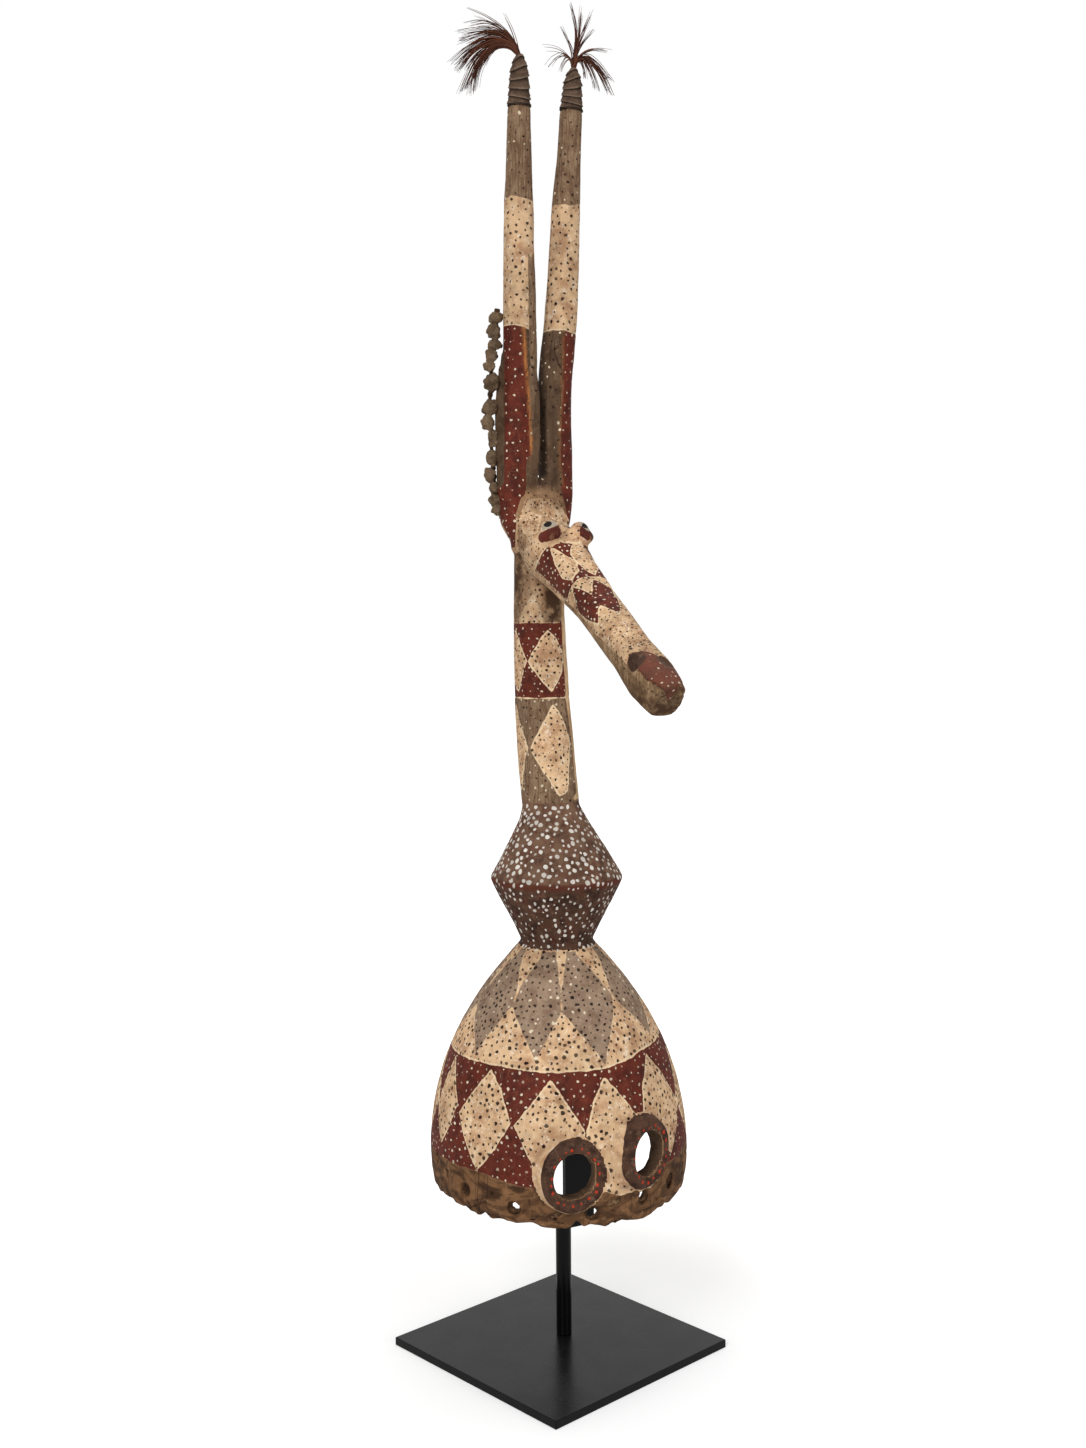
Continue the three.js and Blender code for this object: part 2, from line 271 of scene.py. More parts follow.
def smoothShade(piece):
    piece.data.polygons.foreach_set("use_smooth", [True] * len(piece.data.polygons))


# The carving: one block of wood from the rim to the horn tips
dome = {"radius": 148, "rim": 206, "rimTilt": 9, "shoulder": 236, "height": 285, "power": 2.2, "crown": 480,
        "wall": 13, "innerCrown": 452}
ridge = {"radius": 76, "z": 555, "waist": 38, "neck": 31, "bottom": 478, "top": 641, "lean": 13}
eyeRings = [
    {"place": (-57.4, -143.6, 257), "turn": -3, "outer": 39.6, "bore": 24.2, "length": 21, "narrow": 0.09,
     "darkWall": -60},
    {"place": (30.5, -153, 271), "turn": 22, "outer": 38.4, "bore": 24.6, "length": 26, "narrow": 0.02,
     "darkWall": 80},
]
ringRelief, ringDepth = 9, 46
rimBreak = {"turn": 107, "halfAngle": 17.8, "height": 22}
rimHoles = [(-97, 38, 5), (-48, 18, 6.6), (-14, 15, 6.8), (11, 24, 7), (29, 28, 7), (72, 22, 6),
            (134, 30, 6.5), (165, 24, 5.5), (-160, 27, 6.5), (-128, 20, 5.5)]
rimPits = [(turn, up, radius * 1.12) for turn, up, radius in rimHoles]
rimPits += [(-73, 23, 8.5), (-86, 34, 3), (-58, 30, 2.6), (-30, 9, 3), (20, 14, 2.6), (96, 38, 4)]
neckPath = Path([(0, 11, 626), (0, 25, 706), (0, 34.5, 789), (0, 38, 872), (0, 37, 936)])
neckGirth = profile([(0, 31.5), (0.25, 31.8), (0.75, 28.2), (1, 27)])
headPath = Path([(0, 58, 958), (0, 25, 940), (0, -30, 906), (0, -105, 858), (0, -180, 806), (0, -242, 764.5)])
headHalfWidth = profile([(0, 16), (0.08, 28), (0.2, 32), (0.32, 26), (0.5, 22.5), (0.75, 21), (0.88, 23), (1, 17.5)])
headHalfHeight = profile([(0, 14), (0.08, 25), (0.2, 31), (0.32, 26), (0.5, 20.5), (0.75, 20.5), (0.88, 24), (1, 21)])
headMesh = {"sides": 96, "steps": 160}
pollPath = Path([(0, 42, 928), (0, 40, 965), (0, 36, 1012)])
pollHalfWidth = lambda t: 30 + 26 * t * (1 - t) - 12 * t
pollHalfDepth = lambda t: 24 + 34 * t * (1 - t) - 19 * t
eyes = {  # centre, radii, rows and sides
    "ball": ((18, -26, 944), (12, 14, 15), (20, 32)),
    "lid": ((23.5, -30, 941), (8.5, 13.5, 8), (16, 28)),
}
hornGirth = profile([(0, 5), (0.06, 17), (0.12, 18.5), (0.4, 18.3), (0.55, 17.2), (0.72, 15.4), (0.82, 13.1),
                     (0.9, 12.1), (1, 11.8)])
hornCourse = [(21, 42, 0), (27, 46, 0.12), (22.5, 37, 0.36), (26.5, 29, 0.5), (30, 22, 0.72), (34, 10, 1)]
hornRoot = 928
horns = {
    "left": {"side": -1, "mark": "L", "girth": 1.02, "tip": 1464.5, "wrapBottom": 1416, "wrapTop": 1471.5,
             "keel": [(1002, 40), (1012, 37), (1041, 29), (1097, 4), (1140, -13), (1175, -18), (1250, 3), (1320, 12)]},
    "right": {"side": 1, "mark": "R", "girth": 1.01, "tip": 1459.5, "wrapBottom": 1420, "wrapTop": 1466.5,
              "keel": [(1002, 6), (1025, -8), (1054, -8), (1110, 2), (1165, -9), (1180, -12)]},
}
crest = {"place": (25, 39, 1068), "radii": (6, 28, 112), "turn": 128}
wrapProfile = [(13, 0), (11.6, 20), (10.4, 38), (7.8, 49), (3.6, 58)]
wrapThickness, gap = 1.9, 0.3
carvingVoxel, hollowKept = 2.8, 0.74


def domeRadius(z):
    rise = np.maximum(z - dome["shoulder"], 0) / dome["height"]
    tuck = 3 * (np.maximum(dome["shoulder"] - z, 0) / (dome["shoulder"] - dome["rim"])) ** 2
    return dome["radius"] * (1 - rise ** dome["power"]) - tuck


def innerRadius(z):
    low = dome["rim"] - 2 * dome["rimTilt"] - 6
    depth = (z - low) / (dome["innerCrown"] - low)
    return domeRadius(z) - dome["wall"] * (1 + 0.7 * depth**2)


def inHollow(at):
    return (at[:, 2] < dome["innerCrown"] + 8) & (np.hypot(at[:, 0], at[:, 1]) < domeRadius(at[:, 2]) - 4)


def rimLevel(turn):
    return dome["rim"] - dome["rimTilt"] * math.cos(math.radians(turn))


def rimEdge(turn):  # the worn lower edge: splinters, nicks and one broken place
    a = np.radians(turn)
    ring = np.column_stack([np.cos(a), np.sin(a), 0 * a])
    nick = np.maximum(rough(ring, 0.06, 3) - 0.12, 0)
    step = np.round(rough(ring, 0.12, 4) * 2.6) * 1.9
    edge = (dome["rim"] - dome["rimTilt"] * np.cos(a) + 2.2 * rough(ring, 0.25, 1) + 1.2 * rough(ring, 0.045, 2)
            + 15 * nick + step)
    off = wrapped(turn - rimBreak["turn"])
    return edge + rimBreak["height"] * np.sqrt(np.maximum(1 - (off / rimBreak["halfAngle"]) ** 2, 0))


def shell():
    turn = np.linspace(0, 360, 288, endpoint=False)
    edge = rimEdge(turn)
    a = np.radians(turn)
    rows = []

    def ring(radius, z):
        rows.append(np.column_stack([radius * np.sin(a), -radius * np.cos(a), z + 0 * a]))

    for radius in (2, 20, 38):
        ring(radius, dome["innerCrown"] + 5 - radius / 9)
    for s in np.linspace(1, 0, 40):
        z = edge + (dome["innerCrown"] - edge) * s
        ring(innerRadius(z) + 2.5 * (1 - s) ** 12, z)
    ring(domeRadius(edge) - 5, edge - 0.8)
    for s in np.linspace(0, 1, 74) ** 0.85:
        z = edge + 0.6 + (dome["crown"] - edge - 0.6) * s
        ring(domeRadius(z), z)
    for radius in (30, 15, 2):
        ring(radius, dome["crown"] + 1)
    return skin(np.array(rows))


def ringOutline(ring):
    outer, bore, length = ring["outer"], ring["bore"], ring["length"]
    return [(outer + 1, -ringDepth), (outer + 0.8, -20), (outer + 0.5, -9), (outer, -3.5), (outer - 0.8, -1.4),
            (outer - 2.4, -0.2), (outer - 4.6, 0.2), ((outer + bore) / 2, 0.4), (bore + 2.6, 0), (bore + 0.9, -1.2),
            (bore, -3.5), (bore, -length), (bore + ringRelief, -length), (bore + ringRelief, -ringDepth)]


def narrowed(ring, at):  # the ring's outside is drawn in from left and right, and its bore stays round
    way, out = facing(ring["turn"])
    off = at - ring["place"]
    radius = np.linalg.norm(off - (off @ out)[:, None] * out, axis=1)
    share = ring["narrow"] * np.clip((radius - ring["bore"]) / (ring["outer"] - ring["bore"]), 0, 1)
    return -(off @ way * share)[:, None] * way


def boreOutline(ring):
    bore, length = ring["bore"] + 1.5, ring["length"] + 0.5
    return [(1, -ringDepth - 12), (bore + ringRelief, -ringDepth - 12), (bore + ringRelief, -length), (bore, -length),
            (bore, 10), (1, 10)]


def holePin(turn, up, radius):
    outline = [(radius * 0.9, dome["radius"] - 40), (radius * 0.8, dome["radius"] - 8),
               (radius * 1.35, dome["radius"] + 14)]
    return lathe(outline, 14, (0, 0, rimLevel(turn) + up), turn, wobble=0.14)


def helmet():
    body = meshPiece("shell", shell())
    for ring in eyeRings:
        cutAway(body, lathe(boreOutline(ring), 72, ring["place"], ring["turn"]))
    cutAway(body, *[holePin(*hole) for hole in rimHoles])
    found = [partsOf(body)]
    bpy.data.objects.remove(body)
    hollow = np.linspace(150, dome["innerCrown"], 40)
    for ring in eyeRings:
        places, faces = lathe(ringOutline(ring), 96, ring["place"], ring["turn"], True, 0.006)
        tube = meshPiece("tube", (places + narrowed(ring, places), faces))
        cutAway(tube, lathe([(1, 150), *zip(innerRadius(hollow), hollow), (1, dome["innerCrown"])], 144))
        found.append(partsOf(tube))
        bpy.data.objects.remove(tube)
    return found


def bicone():
    waist, radius, z, neck = (ridge[name] for name in ("waist", "radius", "z", "neck"))
    corners = [(waist, ridge["bottom"] - 14), (waist, ridge["bottom"]), (radius - 0.6, z - 1.2), (radius, z),
               (radius - 0.6, z + 1.2), (neck + 7, ridge["top"] - 18), (neck, ridge["top"])]
    heights = np.linspace(corners[0][1], corners[-1][1], 90)
    radii = np.interp(heights, [c[1] for c in corners], [c[0] for c in corners])
    verts, faces = lathe(list(zip(radii, heights)), 160)
    rise = np.maximum(verts[:, 2] - ridge["z"], 0) / (ridge["top"] - ridge["z"])
    verts[:, 1] += ridge["lean"] * rise**2
    return verts, faces


def hornPath(horn):
    return Path([(horn["side"] * x, y, hornRoot + (horn["tip"] - hornRoot) * t) for x, y, t in hornCourse])


def wrapScale(horn):
    return (horn["wrapTop"] - horn["wrapBottom"]) / wrapProfile[-1][1]


def hornLimb(horn):
    # the blank has a raised keel down its front and is pared to a peg inside the wrap
    path = hornPath(horn)
    stop = horn["wrapBottom"] - gap

    def keeled(t, turn, centre):
        z = centre[:, 2][:, None]
        off = wrapped(turn - np.interp(z, *zip(*horn["keel"])))
        height = 0.075 * np.clip((1330 - z) / 130, 0, 1) * np.clip((z - 985) / 40, 0, 1)
        groove = np.exp(-(((off + 35 * horn["side"]) / 25) ** 2))
        return 1 + height * np.exp(-((off / 15) ** 2)) - 0.5 * height * groove

    def girth(t):
        z = path.at(t)[:, 2]
        wide = horn["girth"] * hornGirth(t)
        heights = [horn["wrapBottom"] + h * wrapScale(horn) for _, h in wrapProfile]
        peg = np.interp(z, heights, [r * horn["girth"] - wrapThickness - gap - 0.4 for r, _ in wrapProfile])
        return np.where(z > stop, np.minimum(wide, np.maximum(peg, 0.8)), wide)

    return limb(path, girth, girth, 48, 260, 2.5, keeled)


def crestFrame(horn):  # where the raised edge on a horn's back stands, and the turn that sets it
    a = math.radians(horn["side"] * (crest["turn"] - 180))
    turn = np.array([[math.cos(a), math.sin(a), 0], [-math.sin(a), math.cos(a), 0], [0, 0, 1]])
    return np.array(crest["place"]) * (horn["side"], 1, 1), turn


def crestLens(horn):
    verts, faces = ball((0, 0, 0), crest["radii"], 40, 32)
    place, turn = crestFrame(horn)
    return verts @ turn + place, faces


def headShape(t, turn, centre):
    # full lips towards the tip, and the very tip drawn in a little
    lip = np.exp(-(((t - 0.93) / 0.05) ** 2)) * np.exp(-((((turn % 360) - 180) / 70) ** 2))
    return 1 + 0.02 * lip - 0.03 * np.clip((t - 0.985) / 0.015, 0, 1)


def drawBackChin(part):
    verts, faces = part
    t = np.repeat(np.linspace(0, 1, headMesh["steps"] + 1), headMesh["sides"])
    heading = headPath.heading(t)
    _, back = crossAxes(heading)
    low = -((verts - headPath.at(t)) * back).sum(1) + headHalfHeight(t)
    share = np.clip((t - 0.93) / 0.07, 0, 1) ** 1.5
    return verts - heading * (0.14 * low * share)[:, None], faces


def headParts():
    neck = limb(neckPath, neckGirth, neckGirth, 96, 130)
    head = limb(headPath, headHalfWidth, headHalfHeight, headMesh["sides"], headMesh["steps"], 3.1, headShape)
    poll = limb(pollPath, pollHalfWidth, pollHalfDepth, 64, 30, 2.2)
    found = [neck, drawBackChin(head), poll]
    for side in (-1, 1):
        for (x, y, z), radii, (rows, sides) in eyes.values():
            found.append(ball((side * x, y, z), radii, rows, sides))
    return found


print("building the carving")
carving = meshPiece("antelope_mask", *helmet(), bicone(), *headParts(),
                    *[part for horn in horns.values() for part in (hornLimb(horn), crestLens(horn))])
fuse(carving, carvingVoxel)
for _ in range(2):
    moveTo(carving.data, eased(carving.data))
hollow = inHollow(points(carving.data) / mm)
carving.vertex_groups.new(name="hollow").add(np.where(hollow)[0].tolist(), 1.0, "REPLACE")
thinned = carving.modifiers.new("thinned", "DECIMATE")
thinned.vertex_group, thinned.ratio = "hollow", hollowKept
settle(carving)
carving.vertex_groups.clear()
print("carving fused:", len(carving.data.polygons), "faces")


# Where each point of the carving belongs
def limbGap(at, path, halfWidth, halfDepth, square):
    t = path.nearest(at)
    across, back = crossAxes(path.heading(t))
    off = at - path.at(t)
    wide, deep = halfWidth(t), halfDepth(t)
    reach = (abs((off * across).sum(1) / wide) ** square + abs((off * back).sum(1) / deep) ** square) ** (1 / square)
    beyond = np.maximum(abs((off * path.heading(t)).sum(1)) - 3, 0)
    return np.hypot((reach - 1) * np.minimum(wide, deep), beyond)


def headGap(at):
    return limbGap(at, headPath, headHalfWidth, headHalfHeight, 2.7)


def hornCentre(horn, z):
    x, y, stops = zip(*hornCourse)
    t = (z - hornRoot) / (horn["tip"] - hornRoot)
    return horn["side"] * np.interp(t, stops, x), np.interp(t, stops, y)


def ringPlace(ring, at):  # distance from the ring's axis, depth behind its face, and angle round it
    way, out = facing(ring["turn"])
    off = at - ring["place"]
    side, up = off @ way, off[:, 2]
    side = side * (1 + ring["narrow"] * np.clip((np.hypot(side, up) - ring["bore"]) / 12, 0, 1))
    return np.hypot(side, up), -(off @ out), np.degrees(np.arctan2(up, side))


def headPlace(at):  # length along the head, angle round it from its top, and height over its axis
    corners = np.array([(58, 958), (25, 940), (-30, 906), (-105, 858), (-180, 806), (-241, 765)], float)
    best = np.full(len(at), 1e9)
    along, height = np.zeros(len(at)), np.zeros(len(at))
    start = 0
    for a, b in zip(corners, corners[1:]):
        span = np.linalg.norm(b - a)
        t = np.clip(((at[:, 1:] - a) @ (b - a)) / span**2, 0, 1)
        foot = a + t[:, None] * (b - a)
        away = np.linalg.norm(at[:, 1:] - foot, axis=1)
        closer = away < best
        up = np.array([-(b - a)[1], (b - a)[0]]) / span
        up = up if up[1] > 0 else -up
        best[closer] = away[closer]
        along[closer] = (start + t * span)[closer]
        height[closer] = ((at[:, 1:] - foot) @ up)[closer]
        start += span
    return along, np.degrees(np.arctan2(at[:, 0], height)), height


def sortParts(at):
    reach = np.hypot(at[:, 0], at[:, 1])
    part = np.full(len(at), "dome", "U8")
    z = at[:, 2]
    part[inHollow(at)] = "inside"
    for number, ring in enumerate(eyeRings):
        radius, depth, _ = ringPlace(ring, at)
        proud = reach > domeRadius(z) + 0.9
        own = (at[:, 1] < 0) & (depth < 70) & (z < 330)
        face = (radius < ring["outer"] + 1) & (abs(depth) < 4)
        part[own & (face | (radius < ring["outer"] + 3) & proud)] = f"ring{number}"
        part[own & (radius < ring["bore"] + 2) & (depth > -3) & ~(proud & (depth < 2))] = f"bore{number}"
    part[(z >= ridge["bottom"]) & (z < ridge["top"] + 2)] = "bicone"
    high = np.where(z >= ridge["top"] + 2)[0]
    p = at[high]
    gaps = {
        "neck": limbGap(p, neckPath, neckGirth, neckGirth, 2.3),
        "head": np.minimum(headGap(p), limbGap(p, pollPath, pollHalfWidth, pollHalfDepth, 2.2)),
    }
    for horn in horns.values():
        x, y = hornCentre(horn, p[:, 2])
        wide = horn["girth"] * hornGirth((p[:, 2] - hornRoot) / (horn["tip"] - hornRoot))
        off = np.hypot(p[:, 0] - x, p[:, 1] - y) - wide * 1.03
        gaps["horn" + horn["mark"]] = np.where(p[:, 2] > 962, off, 60)
        place, turn = crestFrame(horn)
        lens = np.linalg.norm((p - place) @ turn.T / crest["radii"], axis=1)
        gaps["crest" + horn["mark"]] = np.where(off > 1.2, (lens - 1) * crest["radii"][0], 50)
    for horn in horns.values():
        found = np.full(len(p), 50.0)
        for centre, radii, _ in eyes.values():
            q = (p - np.array(centre) * (horn["side"], 1, 1)) / radii
            found = np.minimum(found, abs(np.linalg.norm(q, axis=1) - 1) * min(radii))
        gaps["eye" + horn["mark"]] = np.where((abs(p[:, 0]) > 14) & (found < 2.2), found - 3, 50)
    nearest = np.argmin(np.abs(np.array(list(gaps.values()))), axis=0)
    part[high] = np.array(list(gaps))[nearest]
    for name in ("eyeL", "eyeR"):
        part[high[gaps[name] < 0]] = name
    return part


at = points(carving.data) / mm
part = sortParts(at)
print("parts:", {str(name): int((part == name).sum()) for name in np.unique(part)})


# The painted layout, as distances in millimetres to the edge of each colour, positive inside it
domePaint = {
    "bandTop": [(-105, 363), (-60, 364), (-33, 361.5), (-2, 363), (22, 372), (62, 377.6), (110, 372), (180, 366)],
    "bareTop": [(-97, 251), (-75, 252), (-65, 252), (-47, 244), (-37, 242), (-25, 237), (-8, 235), (-2, 229), (4, 230),
                (12, 238), (25, 250), (37, 249), (53, 257), (70, 260), (107, 262), (150, 250), (-150, 252)],
    "diamonds": [
        [(-96, 362), (-88, 338), (-82, 318), (-85, 290), (-91.5, 266), (-97, 284), (-101.5, 303), (-99, 333)],
        [(-64.5, 360), (-57, 343), (-49.8, 309), (-57, 278), (-65.6, 252), (-73, 280), (-79.8, 308), (-72, 336)],
        [(-32, 356), (-24, 330), (-16.8, 303), (-19, 232), (-35, 232), (-36, 250), (-41, 273), (-48.6, 307.4),
         (-41, 330)],
        [(-5.2, 356), (2, 336), (9.8, 309), (9, 226), (-19, 226), (-17, 270), (-15.8, 304), (-12, 332)],
        [(25.7, 368), (35, 340), (43, 304), (37, 280), (29.7, 256), (20, 280), (12.6, 309), (16, 340)],
    ],
    "lozengeTips": [(-78, 370), (-40.3, 371), (-3.5, 366), (38, 382), (78, 376), (118, 372), (158, 368), (198, 370),
                    (240, 372)],
    "apexes": [(-62.5, 424), (-25.7, 421), (17.9, 429), (56.4, 418), (98, 424), (138, 422), (178, 426), (-142, 420),
               (-102, 415)],
    "wedges": [
        [(-77, 486), (-77, 470), (-63, 437), (-50.5, 470), (-50.5, 486)],
        [(-31, 486), (-30, 472), (-25.7, 436), (-17, 473), (-16, 486)],
        [(-2, 486), (-2, 474), (17.6, 431), (31, 469), (31, 486)],
        [(52, 486), (50, 470), (57, 436), (70, 470), (70, 486)],
        [(88, 486), (88, 470), (98, 436), (112, 470), (112, 486)],
        [(130, 486), (130, 470), (138, 434), (148, 470), (148, 486)],
        [(168, 486), (168, 470), (178, 437), (190, 470), (190, 486)],
        [(208, 486), (208, 470), (218, 434), (228, 470), (228, 486)],
        [(248, 486), (248, 470), (258, 436), (270, 470), (270, 486)],
    ],
}
for centre in range(57, 250, 31):
    domePaint["diamonds"].append([(centre, 361), (centre + 8, 334), (centre + 15.3, 307), (centre + 8, 279),
                                  (centre, 254), (centre - 8, 279), (centre - 15.3, 307), (centre - 8, 334)])


def inside(x, y, corners):  # distance to a polygon's edge, positive inside it
    corners = np.array(corners, float)
    nearest, within = np.full(x.shape, 1e9), np.zeros(x.shape, bool)
    for (x0, y0), (x1, y1) in zip(corners, np.roll(corners, -1, 0)):
        dx, dy = x1 - x0, y1 - y0
        t = np.clip(((x - x0) * dx + (y - y0) * dy) / (dx * dx + dy * dy), 0, 1)
        nearest = np.minimum(nearest, np.hypot(x - x0 - t * dx, y - y0 - t * dy))
        if dy:
            within ^= ((y0 > y) != (y1 > y)) & (x < dx * (y - y0) / dy + x0)
    return np.where(within, nearest, -nearest)


def onBand(turn, z, corners, radius):  # the same for a polygon of [azimuth, height] on a round body
    corners = np.array(corners, float)
    middle = corners[:, 0].mean()
    x = np.radians(wrapped(turn - middle)) * radius(z)
    flat = np.column_stack([np.radians(corners[:, 0] - middle) * radius(corners[:, 1]), corners[:, 1]])
    found = inside(x, z, flat)
    return np.where(abs(wrapped(turn - middle)) < 80, found, -60)


def around(turn, pairs):  # a height given at some azimuths, read all the way round
    return np.interp(turn, *zip(*sorted(pairs)), period=360)


def paintDome(at):
    turn, z = azimuth(at[:, 0], at[:, 1]), at[:, 2]
    band = around(turn, domePaint["bandTop"]) - z
    bare = z - around(turn, domePaint["bareTop"])
    diamonds = np.max([onBand(turn, z, d, domeRadius) for d in domePaint["diamonds"]], axis=0)
    wedges = np.max([onBand(turn, z, w, domeRadius) for w in domePaint["wedges"]], axis=0)
    corners = [corner for pair in zip(domePaint["lozengeTips"], domePaint["apexes"]) for corner in pair]
    curve = []
    for (a, low), (b, high) in zip(corners, corners[1:] + corners[:1]):
        tipFirst = low < high
        for u in (0, 0.15, 0.3, 0.5, 0.7, 0.85):
            rise = u**0.78 if tipFirst else 1 - (1 - u) ** 0.78
            curve.append((wrapped(a + wrapped(b - a) * u), low + (high - low) * rise))
    fringe = z - around(turn, curve)  # the taupe hangs down in points
    seams = np.min([abs(wrapped(turn - a)) for a, _ in domePaint["apexes"]], axis=0) * np.radians(domeRadius(z))
    seam = np.maximum(seams, (abs(z - 429) - 9) * 0.5)
    lines = [abs(band), abs(diamonds), 1.2 + abs(fringe) * 0.6, 1.2 + abs(wedges)]
    return {"cream": bare, "red": np.minimum.reduce([band, bare, -diamonds]),
            "taupe": np.minimum.reduce([fringe * 0.7, -wedges, seam - 0.9]),
            "edge": np.minimum.reduce(lines) + 60 * (bare < 0)}


neckPaint = {
    "redDiamonds": [
        [(-10, 838), (12, 828), (28, 814), (33, 806), (22, 786), (-5, 766.5), (-32, 782), (-57, 802), (-32, 824)],
        [(-104, 839), (-82, 824), (-58, 803), (-74, 783), (-90, 765), (-125, 783), (-150, 803), (-125, 824)],
        [(120, 839), (150, 824), (175, 803), (150, 783), (120, 765), (100, 785), (88, 803), (100, 824)],
    ],
    "greyDiamonds": [
        [(-5.4, 754.5), (18, 735), (32, 711), (26, 690), (14, 655), (-7, 648), (-34, 674), (-62, 703), (-30, 732)],
        [(-110, 755), (-88, 730), (-64, 703.5), (-80, 688), (-100, 660), (-115, 650), (-140, 675), (-165, 703),
         (-140, 730)],
        [(130, 755), (155, 730), (180, 703), (155, 676), (130, 650), (108, 676), (90, 703), (108, 730)],
    ],
    "triangle": [(-90, 842), (-41, 878), (-15, 842)],
    "bare": [(20, 644), (40, 652), (38, 711), (32, 760), (31, 842), (36, 880), (80, 890), (92, 842), (92, 640)],
    "underFace": [(-44, 1.5), (-33, 0.5), (-14, 0.25), (-6, 1.8), (2, 1.6), (10, 0.7)],  # painted shadow and dirt under the head, weighted across the picture
    "radius": 30, "lineAt": 844,
}


def neckCentre(z):
    return np.interp(z, [626, 706, 789, 872, 936], [11, 25, 34.5, 38, 37])


def paintNeck(at):
    z = at[:, 2]
    turn = azimuth(at[:, 0], at[:, 1] - neckCentre(z))
    girth = lambda height: neckPaint["radius"]
    bare = onBand(turn, z, neckPaint["bare"], girth)
    diamonds = neckPaint["redDiamonds"] + neckPaint["greyDiamonds"]
    cream = np.maximum.reduce([onBand(turn, z, d, girth) for d in diamonds])
    red = np.minimum.reduce([z - 760.5, 842.5 - z, -cream, -bare])
    grey = np.minimum.reduce([759.5 - z, z - 640, -cream, -bare])
    line = np.minimum(1.2 - abs(z - neckPaint["lineAt"]), -bare)
    triangle = onBand(turn, z, neckPaint["triangle"], girth)
    thin = 2.4 * rough(at * (1, 1, 0.4), 10, 51, 2) + 0.3
    wash = np.clip(0.55 + thin / 2.4, 0.1, 1) * (z > 845) * (triangle < 0) * (bare < 0)
    # painted shadow of the head on the upper neck, with some dirt, darkest close under the head
    shadow = np.clip(1.5 - headGap(at) / 55, 0, 1.25) * (z > 846)
    return {"cream": -bare, "red": np.maximum(red, line), "taupe": grey, "tan": wash,
            "stain": shadow * np.interp(at @ pictureRight, *zip(*neckPaint["underFace"])),
            "edge": np.where(z > 846, abs(triangle) + 0.9, np.minimum(abs(cream), abs(z - 760))),
            "tone": 0.5 + 0.5 * (bare > 0)}


headPaint = {  # [angle round, length along]; the snout's top left edge is at -40
    "creamDiamonds": [
        [(-47, 97), (-36, 112), (-22, 129), (-30, 144), (-54, 150), (-70, 137), (-62, 118)],
        [(4, 98), (24, 95), (36, 110), (44, 130), (10, 152), (-6, 144), (-14, 130), (-16, 114)],
        [(70, 96), (90, 110), (104, 128), (84, 150), (60, 144), (52, 122)],
    ],
    "redDiamonds": [
        [(-67, 158), (-52, 170), (-40, 186), (-39, 206), (-72, 224), (-92, 208), (-108, 187), (-88, 172)],
        [(-6, 162), (38, 174), (30, 196), (18, 212), (-3, 225), (-24, 214), (-39, 206), (-40, 188)],
        [(60, 160), (84, 176), (104, 190), (84, 208), (62, 224), (44, 206), (46, 180)],
    ],
    "plate": [(-56, 290), (-14, 296), (14, 306), (38, 320), (44, 345), (0, 358), (-34, 357), (-56, 333), (-58, 316)],
    "panel": [(62, 19), (38, 33), (52, 51), (76, 38)],
    "nostrils": [(-49, 303, 12.5, 12), (22, 315, 9, 12)],
}
headGirth = 25
headArc = 0.42  # millimetres of surface to a degree


def onHead(turn, along, corners):
    corners = np.array(corners, float)
    middle = corners[:, 0].mean()
    flat = np.column_stack([np.radians(corners[:, 0] - middle) * headGirth, corners[:, 1]])
    x = np.radians(wrapped(turn - middle)) * headGirth
    return np.where(abs(wrapped(turn - middle)) < 100, inside(x, along, flat), -60)


def mouthLine(along, turn):
    return abs(wrapped(abs(turn) - np.interp(along, [250, 290, 316, 334, 356], [108, 94, 84, 76, 60]))) * headArc


